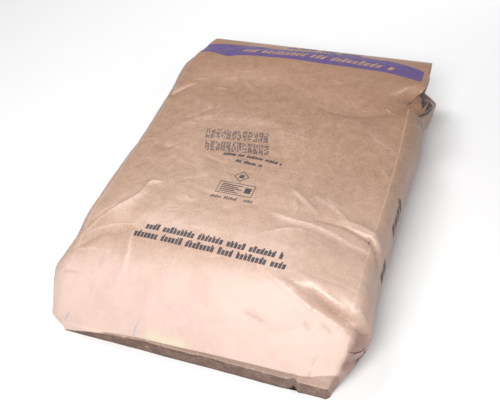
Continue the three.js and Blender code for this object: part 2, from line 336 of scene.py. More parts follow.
# %% The creases that show on the back panel
PANEL_CREASES = [
    # line, height, width on its left, width on its right, which end fades
    ([(204, -150), (183, -143), (160, -137), (132, -138), (118, -141)], -8.0, 4.0, 9.0, "end"),
    ([(204, -134), (178, -128), (150, -128)], 2.5, 7.0, 4.0, "end"),
    ([(204, -163), (178, -163), (156, -156), (129, -151), (92, -149), (58, -143)], 2.8, 3.0, 7.0, "both"),
    ([(204, -228), (180, -234), (143, -231), (110, -230), (84, -229)], 1.8, 9.0, 3.5, "both"),
    ([(120, -228), (151, -230), (178, -231), (204, -235)], -1.6, 2.0, 3.0, "both"),
    ([(151, -265), (172, -268), (192, -275), (204, -282)], -2.4, 2.0, 3.5, "end"),
    ([(126, -93), (147, -112), (167, -127)], 1.3, 2.0, 4.0, "both"),
    ([(66, -181), (85, -168), (106, -161), (114, -165)], 1.6, 2.0, 4.0, "both"),
    ([(196, -256), (179, -250), (160, -245), (144, -241)], 3.8, 4.0, 4.5, "both"),
    ([(184, -262), (160, -254), (140, -247)], -2.4, 3.0, 3.0, "both"),
    ([(209, -266), (186, -261), (162, -256), (140, -249), (122, -244)], -8.5, 4.0, 6.0, "end"),
    ([(140, -249), (122, -244), (104, -239)], -1.6, 2.0, 3.0, "both"),
    ([(206, -278), (178, -270), (150, -265), (110, -251), (67, -233)], 3.6, 3.0, 8.0, "both"),
    ([(148, 72), (171, 52), (196, 40)], 1.2, 2.0, 4.0, "both"),
    ([(176, 4), (190, -8), (201, -22)], 1.1, 2.0, 4.0, "both"),
    ([(-210, 104), (-191, 122), (-170, 137)], -5.0, 4.0, 9.0, "end"),
    ([(-134, 128), (-104, 123)], 1.6, 2.5, 5.0, "both"),
    ([(-176, -30), (-158, -42), (-138, -41)], -3.2, 2.5, 6.0, "both"),
    ([(-210, -234), (-191, -212), (-179, -197), (-160, -173), (-146, -152), (-140, -124)], 3.2, 2.0, 6.0, "both"),
    ([(-202, -214), (-184, -194), (-168, -178)], -2.6, 2.5, 4.0, "both"),
    ([(-206, -232), (-182, -221), (-161, -215), (-126, -209)], 3.0, 2.2, 6.0, "both"),
    ([(-214, -256), (-191, -238), (-173, -230), (-142, -224), (-123, -215)], -5.0, 3.0, 6.0, "end"),
    ([(-218, -253), (-178, -250), (-150, -251)], 3.4, 2.2, 5.0, "end"),
    ([(-222, -281), (-205, -280), (-188, -280)], -2.6, 2.0, 4.0, "end"),
    ([(-230, -261), (-217, -270), (-211, -279)], 2.0, 2.0, 4.0, "both"),
    ([(-125, -221), (-122, -246), (-122, -267), (-126, -277), (-130, -292)], 2.4, 2.0, 6.0, "both"),
    ([(-158, -276), (-163, -288), (-165, -294), (-168, -303), (-173, -316)], 2.0, 2.0, 5.0, "both"),
    ([(-123, -121), (-138, -122), (-144, -132)], 1.6, 2.0, 4.0, "both"),
    ([(60, -283), (76, -286), (96, -290)], -1.8, 2.0, 6.0, "both"),
    ([(142, -279), (151, -286)], -1.8, 2.0, 4.0, "both"),
    ([(165, -276), (182, -284)], -1.8, 2.0, 4.0, "both"),
    ([(54, -186), (73, -171), (99, -162)], 1.6, 2.5, 6.0, "both"),
    ([(73, -89), (81, -95), (102, -111), (123, -129)], 1.8, 2.0, 4.5, "both"),
    ([(82, -106), (90, -124), (90, -141)], 1.4, 2.0, 4.0, "both"),
    ([(104, -92), (134, -105), (168, -129)], 1.3, 2.0, 4.0, "both"),
    ([(125, -92), (149, -104), (166, -108)], 1.2, 2.0, 4.0, "both"),
    ([(204, 210), (190, 202), (182, 191), (175, 182), (166, 174)], 2.4, 4.5, 1.6, "both"),
    ([(214, 196), (206, 182), (197, 163), (185, 146), (160, 121), (133, 105)], -5.5, 5.0, 4.0, "end"),
    ([(150, 112), (112, 98), (86, 99), (62, 106)], -1.6, 4.0, 3.0, "both"),
    ([(214, 198), (200, 182), (184, 172), (168, 166)], -3.0, 3.0, 5.0, "end"),
    ([(184, 136), (175, 138), (167, 141)], 2.2, 5.0, 2.5, "both"),
    ([(157, -331), (160, -320), (166, -305)], -5.0, 3.0, 4.0, "end"),
    ([(190, -330), (176, -318), (150, -316), (110, -316)], 2.2, 5.0, 4.0, "both"),
]
SIDE_CREASES = [
    # the same, but across the right gusset: U and V on the sheet
    ([(204, -148), (216, -158), (226, -172), (231, -190)], -4.5, 6.0, 5.0, "end"),
    ([(206, -140), (219, -148), (231, -163)], 2.6, 4.0, 4.0, "both"),
    ([(204, -214), (222, -232), (240, -250)], 1.8, 2.5, 5.0, "both"),
    ([(203, -246), (213, -252), (229, -258)], 4.0, 3.0, 6.0, "both"),
    ([(208, -266), (222, -270), (240, -262)], -4.5, 4.0, 6.0, "both"),
    ([(214, -282), (232, -280), (252, -288)], 2.6, 3.0, 5.0, "both"),
    ([(214, -296), (226, -292), (240, -283), (258, -272)], 4.0, 2.2, 6.0, "both"),
    ([(226, -296), (234, -299), (244, -299)], 2.4, 2.0, 3.0, "both"),
    ([(216, -306), (230, -299), (250, -290)], -4.0, 3.0, 4.0, "both"),
    ([(212, -314), (232, -308), (256, -312)], 2.4, 3.0, 4.0, "both"),
    ([(206, 190), (218, 214), (240, 236), (264, 250)], -5.5, 5.0, 6.0, "both"),
    ([(205, 186), (216, 200), (226, 216)], -3.0, 4.0, 4.0, "end"),
    ([(206, 184), (222, 172), (246, 162)], -3.0, 4.0, 6.0, "end"),
    ([(214, 150), (236, 158), (262, 156)], -2.2, 3.0, 6.0, "both"),
    ([(210, 120), (232, 134), (256, 136)], 1.8, 3.0, 6.0, "both"),
]
STRAY_CREASES = 70
stray_random = np.random.default_rng(11)
for _ in range(STRAY_CREASES):
    centre = stray_random.uniform([-190, -300], [190, 215])
    turn = stray_random.normal(0.1, 0.55)
    reach = stray_random.uniform(10, 34)
    step = np.array([math.cos(turn), math.sin(turn)]) * reach
    bend = np.array([-step[1], step[0]]) * stray_random.uniform(-0.25, 0.25)
    line = [tuple(centre - step), tuple(centre + bend), tuple(centre + step)]
    PANEL_CREASES.append((line, stray_random.uniform(-0.75, 0.75), 2.5, stray_random.uniform(3, 7), "both"))
STRAY_SIDE_CREASES = 60
for _ in range(STRAY_SIDE_CREASES):
    side = stray_random.choice([-1, 1])
    centre = np.array([side * stray_random.uniform(212, 310), stray_random.uniform(-300, 200)])
    turn = stray_random.normal(0, 0.9)
    step = np.array([math.cos(turn), math.sin(turn)]) * stray_random.uniform(8, 26)
    SIDE_CREASES.append(([tuple(centre - step), tuple(centre + step)], stray_random.uniform(-1.1, 1.1), 2.5, 5.0, "both"))
print("creases on the back panel:", len(PANEL_CREASES), "and on the gussets:", len(SIDE_CREASES))

# %% The flap's right corner stands out a little more
CORNER_OUT, CORNER_FROM, CORNER_TO = 7.0, 176.0, 214.0
corner_share = ease(CORNER_FROM, CORNER_TO, sack_grid[:, :, 1]) * ease(60.0, HALF_FACE, sack_grid[:, :, 0])
sack_grid[:, :, 0] += CORNER_OUT * corner_share
print("flap corner moved by", round(float((CORNER_OUT * corner_share).max()), 1), "mm")

# %% Press the creases and the crumple into the grid
back_part = slice(0, BACK_COLUMNS + 1)
back_x, back_y = sack_grid[:, back_part, 0], sack_grid[:, back_part, 1]
pressed = np.zeros(sack_grid.shape[:2])
# Per point: rubbed wear and painted highlight along crests, and painted shade along valleys.
wear_and_shade = np.zeros(sack_grid.shape[:2])
WEAR_AND_SHADE_WIDTH, WEAR_AND_SHADE_HEIGHT = 1.7, 3.5


def wear_and_shade_edge(x, y, line, height, fades):
    """Plus along a crest, where the paper is rubbed pale and a highlight is painted, and minus along a valley, for
    painted shade.
    """
    return np.clip(height / WEAR_AND_SHADE_HEIGHT, -1, 1) * crease(x, y, line, 1.0, WEAR_AND_SHADE_WIDTH, WEAR_AND_SHADE_WIDTH, fades)


for line, height, left_width, right_width, fades in PANEL_CREASES:
    pressed[:, back_part] += crease(back_x, back_y, line, height, left_width, right_width, fades)
    wear_and_shade[:, back_part] += wear_and_shade_edge(back_x, back_y, line, height, fades)

paper_u = np.where(np.arange(AROUND) > SEAM_COLUMN, flat_u - GIRTH, flat_u)[None, :] + 0 * rows
paper_v = sack_grid[:, :, 1]
for line, height, left_width, right_width, fades in SIDE_CREASES:
    pressed += crease(paper_u, paper_v, line, height, left_width, right_width, fades)
    wear_and_shade += wear_and_shade_edge(paper_u, paper_v, line, height, fades)
crumple = 1.3 * uneven(paper_u, paper_v * 0.7, 62, 1) + 0.55 * uneven(paper_u, paper_v, 27, 2)
facets = 1 - 2 * np.abs(uneven(paper_u * 0.8, paper_v, 30, 3))
crumple += 0.55 * facets * ease(-0.1, 0.8, uneven(paper_u, paper_v, 90, 4)) + 0.2 * uneven(paper_u, paper_v, 11, 5)

where_crushed = ease(70, 120, np.abs(paper_u)) * ease(-300, -270, paper_v) * (1 - ease(-190, -120, paper_v))
streaks = uneven(paper_u * 0.45, paper_v + 0.28 * paper_u, 8, 6) + 0.5 * uneven(paper_u * 0.6, paper_v, 5, 7)
crumple += 0.42 * where_crushed * np.where(paper_u > 0, 1, 0.6) * streaks
on_near_slope = 1 - ease(-275, -235, paper_v)
crumple += on_near_slope * (0.8 * uneven(paper_u, paper_v * 0.55, 22, 8) + 0.3 * uneven(paper_u, paper_v, 9, 9))
on_floor = ease(HALF_FACE + GUSSET_DEPTH * 0.75, HALF_FACE + GUSSET_DEPTH, np.abs(paper_u))
at_ends = ease(0, 16, HALF_LENGTH + paper_v) * ease(0, 20, HALF_LENGTH - paper_v)

along_rows = np.gradient(sack_grid, axis=0)
wrapped = np.concatenate([sack_grid[:, -1:], sack_grid, sack_grid[:, :1]], axis=1)
along_girth = (wrapped[:, 2:] - wrapped[:, :-2]) / 2
outward = np.cross(along_rows, along_girth)
outward /= np.linalg.norm(outward, axis=2, keepdims=True) + 1e-9
if outward[len(rows) // 2, BACK_COLUMNS // 2, 2] < 0:
    outward = -outward
pressed = pressed * at_ends + crumple * at_ends * (1 - on_floor)
sack_grid = sack_grid + outward * pressed[:, :, None]
print("paper pressed by", round(float(pressed.min()), 2), "to", round(float(pressed.max()), 2), "mm")

# %% [markdown]
# ### The two folded ends
#
# The near end was folded under and squashed: a low upright wall of paper under the slope, with a softer strip
# above it on the right. The far end is pinched to a thin lip. Both are a small grid hung between the edge of the
# back panel and the edge of the front one, with the ends of the gussets as its two sides, so that the whole sack
# stays one closed skin. The last row meets the front panel's wider columns with a fan of triangles.

# %% One function makes both ends
WALL_HEIGHT = 22.0
BACK_PER_FRONT = BACK_COLUMNS // FRONT_COLUMNS
points = [sack_grid.reshape(-1, 3)]
uv_of_point = [np.stack([paper_u, paper_v], axis=-1).reshape(-1, 2)]
end_faces = []


def end_wall(first, facing, push):
    """Closes one end. first is the index of its row's first point, and push moves each inner point outwards."""
    left_top, right_top = first, first + BACK_COLUMNS
    start = sum(len(p) for p in points)
    inner = np.arange(1, BACK_COLUMNS)
    top = points[0][first + inner]
    right_side = [right_top + i for i in range(1, GUSSET_COLUMNS)]
    left_side = [first + AROUND - i for i in range(1, GUSSET_COLUMNS)]
    grid = [[left_top, *(first + inner), right_top]]
    new_points, new_uv = [], []
    across = 2 * inner / BACK_COLUMNS - 1
    for i in range(1, GUSSET_COLUMNS):
        down = i / GUSSET_COLUMNS
        foot = front_points(np.array([[HALF_LENGTH - top[0, 1]]]), across[None, :])[0]
        foot[:, 1] = top[:, 1]
        row = mix(top, foot, down)
        row[:, 1] += facing * push(across, down, top[:, 2] - foot[:, 2])
        new_points.append(row)
        new_uv.append(np.stack([across * HALF_FACE, row[:, 1] * 0 + facing * (HALF_LENGTH + down * 30)], axis=-1))
        ids = start + (i - 1) * len(inner) + np.arange(len(inner))
        grid.append([left_side[i - 1], *ids, right_side[i - 1]])
    points.append(np.concatenate(new_points))
    uv_of_point.append(np.concatenate(new_uv))
    for upper, lower in zip(grid[:-1], grid[1:]):
        for i in range(BACK_COLUMNS):
            end_faces.append([upper[i], upper[i + 1], lower[i + 1], lower[i]][::facing])
    last = grid[-1]
    bottom = [first + AROUND - GUSSET_COLUMNS - i for i in range(FRONT_COLUMNS + 1)]
    for k in range(FRONT_COLUMNS):
        split = k * BACK_PER_FRONT + BACK_PER_FRONT // 2
        for i in range(k * BACK_PER_FRONT, (k + 1) * BACK_PER_FRONT):
            end_faces.append([last[i], last[i + 1], bottom[k] if i < split else bottom[k + 1]][::facing])
        end_faces.append([last[split], bottom[k + 1], bottom[k]][::facing])


def near_push(across, down, height):
    """A strip that leans out above an upright wall, with shallow waves and one tuck near the right corner."""
    strip = np.maximum(height - WALL_HEIGHT, 1.5)
    inside = ease(0, 0.1, down) * (1 - ease(0.97, 1.0, down)) * ease(-1, -0.98, across) * (1 - ease(0.98, 1, across))
    waves = 1.1 * uneven(across * HALF_FACE, down * height, 34, 21) + 0.5 * uneven(across * HALF_FACE, down * height, 9, 22)
    tuck = 5.5 * np.exp(-np.abs(across - 0.76) * HALF_FACE / 4) - 2.5 * np.exp(-np.abs(across - 0.795) * HALF_FACE / 4)
    return inside * (4.5 * ease(0, 1, down * height / strip) + waves * (1 - 0.75 * down) - tuck)


def far_push(across, down, height):
    return 1.8 * math.sin(math.pi * down) * (1 - np.abs(across) ** 12)


end_wall(0, -1, near_push)
end_wall((len(rows) - 1) * AROUND, 1, far_push)
print("end faces:", len(end_faces))

# %% [markdown]
# ### Building the paper
#
# The grid's quads and the end faces become one mesh. Its flat paper place goes into a UV map, corner by corner,
# so that the map has a clean cut under the sack where U jumps from one edge of the sheet to the other.

# %% Make the mesh
row_start = np.arange(len(rows) - 1)[:, None] * AROUND
column = np.arange(AROUND)[None, :]
next_column = (column + 1) % AROUND
tube_faces = np.stack(
    [row_start + column, row_start + next_column, row_start + AROUND + next_column, row_start + AROUND + column],
    axis=-1,
).reshape(-1, 4)
all_points = np.concatenate(points)
all_uv = np.concatenate(uv_of_point)
paper_mesh = bpy.data.meshes.new("paper_sack")
paper_mesh.from_pydata((all_points * MM).tolist(), [], tube_faces.tolist() + [list(map(int, f)) for f in end_faces])
paper_mesh.update()

unwrapped = np.append(flat_u, flat_u[0] + GIRTH)
low_u = np.where(np.arange(AROUND) >= SEAM_COLUMN, unwrapped[:-1] - GIRTH, unwrapped[:-1])
high_u = np.where(np.arange(AROUND) >= SEAM_COLUMN, unwrapped[1:] - GIRTH, unwrapped[1:])
tube_u = np.stack([low_u, high_u, high_u, low_u], axis=-1)[None].repeat(len(rows) - 1, axis=0).reshape(-1)
tube_v = all_uv[tube_faces.reshape(-1), 1]
end_corners = np.array([corner for face in end_faces for corner in face])
corner_uv = np.concatenate([np.stack([tube_u, tube_v], axis=-1), all_uv[end_corners]])
uv_layer = paper_mesh.uv_layers.new(name="UVMap")
uv_layer.data.foreach_set("uv", (corner_uv * MM).astype(np.float32).reshape(-1))

# The crease marks per point, for the shader: wear and painted highlight on crests, painted shade in valleys.
wear_and_shade_layer = paper_mesh.attributes.new("wear_and_shade", "FLOAT", "POINT")
wear_and_shade_of_point = np.concatenate([wear_and_shade.reshape(-1), np.zeros(len(all_points) - wear_and_shade.size)])
wear_and_shade_layer.data.foreach_set("value", wear_and_shade_of_point.astype(np.float32))

paper_mesh.polygons.foreach_set("use_smooth", [True] * len(paper_mesh.polygons))
paper_sack = bpy.data.objects.new("paper_sack", paper_mesh)
bpy.context.scene.collection.objects.link(paper_sack)

# %% Put the sack where the solid is, and check that it is closed and faces outwards
paper_mesh.transform(Matrix.Translation((-middle_x * MM, 0, -all_points[:, 2].min() * MM)))
shell = bmesh.new()
shell.from_mesh(paper_mesh)
if shell.calc_volume(signed=True) < 0:
    bmesh.ops.reverse_faces(shell, faces=shell.faces)
    shell.to_mesh(paper_mesh)
open_edges = sum(1 for edge in shell.edges if not edge.is_contiguous)
print("litres:", round(abs(shell.calc_volume(signed=True)) * 1000, 2), "open or turned edges:", open_edges)
print("triangles:", sum(len(p.vertices) - 2 for p in paper_mesh.polygons))
shell.free()
paper_mesh.update()

# %% [markdown]
# ### Kraft paper
#
# Kraft is brown wood pulp pressed smooth. Close up it has short fibres that run along the sheet, a cloudy
# mottle, and a slight shine where it was calendered. Where a crease was rubbed, the brown skin wears off and
# leaves a pale line. The purple band is ink printed on the flat sheet, so it follows the UV map.
#
# A picture of paper would be the usual way. Noise nodes do it with no picture, at any size, so the finish is
# built from four scales of noise, and from masks drawn on the UV map.


# %% A short way to add and join nodes
def add(tree, kind, inputs=None, **settings):
    """Adds a node. Inputs are values or other nodes' outputs, by socket name or number."""
    made = tree.nodes.new(kind)
    for key, value in settings.items():
        setattr(made, key, value)
    for key, value in (inputs or {}).items():
        if isinstance(value, bpy.types.NodeSocket):
            tree.links.new(value, made.inputs[key])
        else:
            made.inputs[key].default_value = value
    return made


def maths(tree, operation, a, b=0.0, c=0.0):
    return add(tree, "ShaderNodeMath", {0: a, 1: b, 2: c}, operation=operation).outputs[0]


def smooth_step(tree, value, start, end):
    """0 at start and 1 at end, eased. Start may be above end."""
    step = add(tree, "ShaderNodeMapRange", {"Value": value}, interpolation_type="SMOOTHSTEP")
    low, high = sorted((start, end))
    step.inputs["From Min"].default_value, step.inputs["From Max"].default_value = low, high
    step.inputs["To Min"].default_value = 0.0 if start < end else 1.0
    step.inputs["To Max"].default_value = 1.0 if start < end else 0.0
    return step.outputs["Result"]


def speckle(tree, where, scale, detail=4.0, roughness=0.6):
    """Noise from 0 to 1 at so many blotches a metre."""
    noise = add(tree, "ShaderNodeTexNoise", {"Vector": where, "Scale": scale, "Detail": detail})
    noise.inputs["Roughness"].default_value = roughness
    return noise.outputs["Fac"]


def tint(tree, share, under, over):
    """Mixes two colours by a share."""
    blend = add(tree, "ShaderNodeMix", {0: share, 6: under, 7: over}, data_type="RGBA")
    return blend.outputs[2]


def sheet_line(tree, across, line):
    """V for each U, along a line of a few points drawn on the sheet."""
    us, vs = [u for u, v in line], [v for u, v in line]
    low, high = min(vs), max(vs) + 1e-6
    share = add(tree, "ShaderNodeMapRange", {"Value": across, "From Min": us[0], "From Max": us[-1]}).outputs["Result"]
    curve = add(tree, "ShaderNodeFloatCurve", {"Value": share})
    knots = curve.mapping.curves[0].points
    for u, v in line[1:-1]:
        knots.new((u - us[0]) / (us[-1] - us[0]), (v - low) / (high - low))
    knots[0].location = (0.0, (vs[0] - low) / (high - low))
    knots[-1].location = (1.0, (vs[-1] - low) / (high - low))
    curve.mapping.update()
    return maths(tree, "MULTIPLY_ADD", curve.outputs[0], high - low, low)


def finish_named(name):
    """A new material with its shader, and the tree to add to."""
    made = bpy.data.materials.new(name)
    made.use_nodes = True
    return made, made.node_tree, made.node_tree.nodes["Principled BSDF"]


# %% Fibres, mottle and clouds
kraft_paper, kraft, kraft_shader = finish_named("kraft_paper")
place = add(kraft, "ShaderNodeTexCoord")
on_object, on_sheet = place.outputs["Object"], place.outputs["UV"]
sheet = add(kraft, "ShaderNodeSeparateXYZ", {0: on_sheet})
sheet_u, sheet_v = sheet.outputs["X"], sheet.outputs["Y"]
FIBRES_ACROSS, FIBRES_ALONG = 620.0, 170.0
fibre_place = add(kraft, "ShaderNodeMapping", {"Vector": on_sheet, "Scale": (FIBRES_ACROSS, FIBRES_ALONG, 1.0)})
fibres = speckle(kraft, fibre_place.outputs[0], 1.0, 3.0, 0.7)
mottle = speckle(kraft, on_object, 75.0, 5.0, 0.62)
clouds = speckle(kraft, on_object, 9.0, 3.0, 0.55)
KRAFT_DARK, KRAFT_LIGHT = (0.305, 0.174, 0.108, 1), (0.575, 0.365, 0.258, 1)
grain = speckle(kraft, on_object, 330.0, 2.0, 0.6)
brown = maths(kraft, "MULTIPLY_ADD", fibres, 0.30, maths(kraft, "MULTIPLY", mottle, 0.32))
brown = maths(kraft, "MULTIPLY_ADD", grain, 0.42, brown)
brown = maths(kraft, "MULTIPLY_ADD", clouds, 0.22, brown)
colour = tint(kraft, smooth_step(kraft, brown, 0.34, 0.92), KRAFT_DARK, KRAFT_LIGHT)

# %% The far half of the panel is a warmer brown
FAR_BROWN = (0.36, 0.136, 0.045, 1)
far_cast = maths(kraft, "MULTIPLY", smooth_step(kraft, sheet_v, 0.02, 0.19), 0.26)
colour = tint(kraft, far_cast, colour, FAR_BROWN)

# %% Pale worn lines along the creases, painted light that grows towards the near end, and a painted sheen on the near slope
CREASE_U, WORN_WIDTH = HALF_FACE * MM, 0.0011
PALE_FIBRE = (0.80, 0.64, 0.55, 1)
LEFT_SHIFT = 0.0055
rolled_in = maths(kraft, "MULTIPLY", smooth_step(kraft, sheet_v, -0.070, -0.130), smooth_step(kraft, sheet_u, 0.1, -0.1))
crease_place = maths(kraft, "MULTIPLY_ADD", rolled_in, -LEFT_SHIFT, CREASE_U)
past_crease = maths(kraft, "SUBTRACT", maths(kraft, "ABSOLUTE", sheet_u), crease_place)
crease_gap = maths(kraft, "ABSOLUTE", past_crease)
rubbed = smooth_step(kraft, speckle(kraft, on_object, 34.0, 3.0), 0.25, 0.50)
worn_line = maths(kraft, "MULTIPLY", smooth_step(kraft, crease_gap, WORN_WIDTH, 0.0), rubbed)
worn_line = maths(kraft, "MULTIPLY", worn_line, smooth_step(kraft, sheet_v, -0.300, -0.235))
colour = tint(kraft, maths(kraft, "MULTIPLY", worn_line, 0.42), colour, PALE_FIBRE)

# The near slope is painted a pale pink with a ragged edge: a painted sheen, where the slope tilts up to face the key
# light.
NEAR_SHEEN_PAINT = (0.76, 0.568, 0.500, 1)
PALE_EDGE = [
    # U, V of the field's edge on the sheet, left to right
    (-0.240, -0.270), (-0.200, -0.260), (-0.146, -0.253), (-0.074, -0.250), (-0.007, -0.250), (0.078, -0.244),
    (0.108, -0.247), (0.149, -0.263), (0.186, -0.271), (0.209, -0.278), (0.240, -0.282),
]  # fmt: skip
PALE_FOOT = [
    # U, V of its lower edge
    (-0.240, -0.352), (-0.200, -0.348), (-0.160, -0.333), (-0.120, -0.3250), (0.020, -0.3245), (0.140, -0.3243),
    (0.168, -0.3235), (0.192, -0.3195), (0.220, -0.3150),
]  # fmt: skip
pale_jag = maths(kraft, "MULTIPLY_ADD", speckle(kraft, on_object, 90.0, 3.0), 0.016, -0.008)
pale_gap = maths(kraft, "SUBTRACT", maths(kraft, "ADD", sheet_v, pale_jag), sheet_line(kraft, sheet_u, PALE_EDGE))
pale_softness = maths(kraft, "MULTIPLY_ADD", smooth_step(kraft, sheet_u, 0.04, 0.12), -0.0225, 0.025)
# Painted light: the panel is mixed towards the sheen colour more and more towards the near end, and more on the right.
painted_light_to_near = maths(kraft, "MULTIPLY_ADD", smooth_step(kraft, sheet_u, 0.0, 0.12), 0.16, 0.20)
painted_light_to_near = maths(kraft, "MULTIPLY", smooth_step(kraft, sheet_v, 0.02, -0.235), painted_light_to_near)
colour = tint(kraft, painted_light_to_near, colour, NEAR_SHEEN_PAINT)
# This mask is the field of painted sheen on the near slope.
pale = smooth_step(kraft, maths(kraft, "DIVIDE", pale_gap, pale_softness), 1.0, -1.0)
above_foot = maths(kraft, "SUBTRACT", sheet_v, sheet_line(kraft, sheet_u, PALE_FOOT))
pale = maths(kraft, "MULTIPLY", pale, smooth_step(kraft, above_foot, -0.0008, 0.0008))
pale_right = maths(kraft, "MULTIPLY_ADD", pale_jag, 0.4, sheet_u)
pale_right = maths(kraft, "MULTIPLY_ADD", smooth_step(kraft, sheet_v, -0.286, -0.318), -0.013, pale_right)
pale = maths(kraft, "MULTIPLY", pale, smooth_step(kraft, pale_right, 0.2105, 0.2070))
blotches = smooth_step(kraft, speckle(kraft, on_object, 26.0, 4.0, 0.65), 0.30, 0.66)
painted_sheen_share = maths(kraft, "MULTIPLY", pale, maths(kraft, "MULTIPLY_ADD", blotches, 0.20, 0.50))
colour = tint(kraft, painted_sheen_share, colour, NEAR_SHEEN_PAINT)

# %% A faint yellow stain along the foot of the near slope
YELLOW_STAIN = (0.660, 0.600, 0.420, 1)
stain = maths(kraft, "MULTIPLY", smooth_step(kraft, sheet_u, -0.072, -0.056), smooth_step(kraft, sheet_u, 0.014, -0.010))
stain_height = maths(kraft, "MULTIPLY_ADD", blotches, 0.004, 0.006)
stain = maths(kraft, "MULTIPLY", stain, smooth_step(kraft, maths(kraft, "DIVIDE", above_foot, stain_height), 1.0, 0.3))
stain = maths(kraft, "MULTIPLY", stain, smooth_step(kraft, above_foot, -0.0008, 0.0008))
colour = tint(kraft, maths(kraft, "MULTIPLY", stain, 0.62), colour, YELLOW_STAIN)

# %% Crests are rubbed pale and get a painted highlight, and valleys get a painted dark line of shade
CREST_WEAR_AND_HIGHLIGHT, VALLEY_SHADE_PAINT = (0.80, 0.61, 0.53, 1), (0.200, 0.110, 0.080, 1)
wear_and_shade_by_crease = add(kraft, "ShaderNodeAttribute", attribute_name="wear_and_shade").outputs["Fac"]
broken = maths(kraft, "MULTIPLY_ADD", smooth_step(kraft, grain, 0.30, 0.62), 0.6, 0.4)
crest = maths(kraft, "MULTIPLY", maths(kraft, "MAXIMUM", wear_and_shade_by_crease, 0.0), broken)
crest = maths(kraft, "MULTIPLY", crest, maths(kraft, "MULTIPLY_ADD", pale, -0.75, 1.0))
valley = maths(kraft, "MAXIMUM", maths(kraft, "MULTIPLY", wear_and_shade_by_crease, -1.0), 0.0)
colour = tint(kraft, maths(kraft, "MINIMUM", crest, 0.75), colour, CREST_WEAR_AND_HIGHLIGHT)
colour = tint(kraft, maths(kraft, "MINIMUM", maths(kraft, "MULTIPLY", valley, 0.6), 0.6), colour, VALLEY_SHADE_PAINT)

# %% The gussets are painted a little darker, most towards the ear and their outer part: painted shade, where they turn away from the light
GUSSET_SHADE_BROWN = (0.235, 0.125, 0.082, 1)
out_on_gusset = smooth_step(kraft, past_crease, 0.0004, 0.024)
by_the_ear = maths(kraft, "MULTIPLY_ADD", smooth_step(kraft, sheet_v, 0.02, 0.20), 0.30, 0.26)
by_the_ear = maths(kraft, "MULTIPLY_ADD", smooth_step(kraft, past_crease, 0.026, 0.062), 0.26, by_the_ear)
not_pale = maths(kraft, "MULTIPLY_ADD", pale, -0.9, 1.0)
gusset_share = maths(kraft, "MULTIPLY", maths(kraft, "MULTIPLY", out_on_gusset, by_the_ear), not_pale)
colour = tint(kraft, gusset_share, colour, GUSSET_SHADE_BROWN)

# %% Deep in the pinch under the flap, hardly any light comes back
PINCH_DARK = (0.040, 0.022, 0.018, 1)
PINCH_EDGE = [(0.203, 0.196), (0.215, 0.206), (0.240, 0.232), (0.262, 0.256), (0.285, 0.268)]
into_pinch = maths(kraft, "SUBTRACT", sheet_v, sheet_line(kraft, sheet_u, PINCH_EDGE))
pinch_share = maths(kraft, "MULTIPLY", smooth_step(kraft, into_pinch, -0.001, 0.009), smooth_step(kraft, sheet_u, 0.2035, 0.2055))
pinch_share = maths(kraft, "MULTIPLY", pinch_share, smooth_step(kraft, sheet_u, 0.296, 0.280))
colour = tint(kraft, maths(kraft, "MULTIPLY", pinch_share, 0.85), colour, PINCH_DARK)

# %% The crumpled corner at the right is painted a darker, dull purple brown
CORNER_PURPLE_BROWN = (0.185, 0.105, 0.092, 1)
corner = maths(kraft, "MULTIPLY", smooth_step(kraft, sheet_u, 0.207, 0.220), smooth_step(kraft, sheet_v, -0.258, -0.284))
corner = maths(kraft, "MULTIPLY", corner, smooth_step(kraft, sheet_u, 0.330, 0.290))
corner = maths(kraft, "MULTIPLY", corner, maths(kraft, "MULTIPLY_ADD", blotches, -0.35, 0.85))
colour = tint(kraft, corner, colour, CORNER_PURPLE_BROWN)

# %% The end wall is painted browner, below a strip that widens to the right and is painted a little browner too: painted shade, as both face down and away from the light
END_SHADE_BROWN = (0.080, 0.030, 0.017, 1)
END_EDGE = [(-0.203, -0.3520), (-0.170, -0.3400), (-0.130, -0.3262), (-0.100, -0.3250), (0.020, -0.3290), (0.100, -0.3310), (0.203, -0.3320)]
below_strip = maths(kraft, "SUBTRACT", sheet_v, sheet_line(kraft, sheet_u, END_EDGE))
scuffs = smooth_step(kraft, mottle, 0.40, 0.62)
wall_share = maths(kraft, "MULTIPLY_ADD", scuffs, -0.14, 0.98)
wall_share = maths(kraft, "MULTIPLY", wall_share, smooth_step(kraft, sheet_u, 0.60, 0.08))
strip_strength = maths(kraft, "MULTIPLY_ADD", smooth_step(kraft, sheet_u, 0.130, 0.190), -0.24, 0.54)
strip_share = maths(kraft, "MULTIPLY", smooth_step(kraft, above_foot, 0.0004, -0.0006), strip_strength)
end_share = maths(kraft, "MAXIMUM", strip_share, maths(kraft, "MULTIPLY", wall_share, smooth_step(kraft, below_strip, 0.0006, -0.0012)))
colour = tint(kraft, end_share, colour, END_SHADE_BROWN)

# %% Pale scuffs on the wall, most of them along its upper edge
edge_line = maths(kraft, "MULTIPLY", smooth_step(kraft, below_strip, 0.0012, 0.0002), smooth_step(kraft, below_strip, -0.0014, -0.0002))
wall_specks = smooth_step(kraft, speckle(kraft, on_object, 210.0, 3.0, 0.65), 0.52, 0.66)
on_wall = smooth_step(kraft, above_foot, 0.0, -0.0010)
scuff_share = maths(kraft, "MULTIPLY_ADD", edge_line, maths(kraft, "MULTIPLY_ADD", wall_specks, 0.35, 0.12), maths(kraft, "MULTIPLY", wall_specks, 0.10))
colour = tint(kraft, maths(kraft, "MULTIPLY", scuff_share, on_wall), colour, PALE_FIBRE)

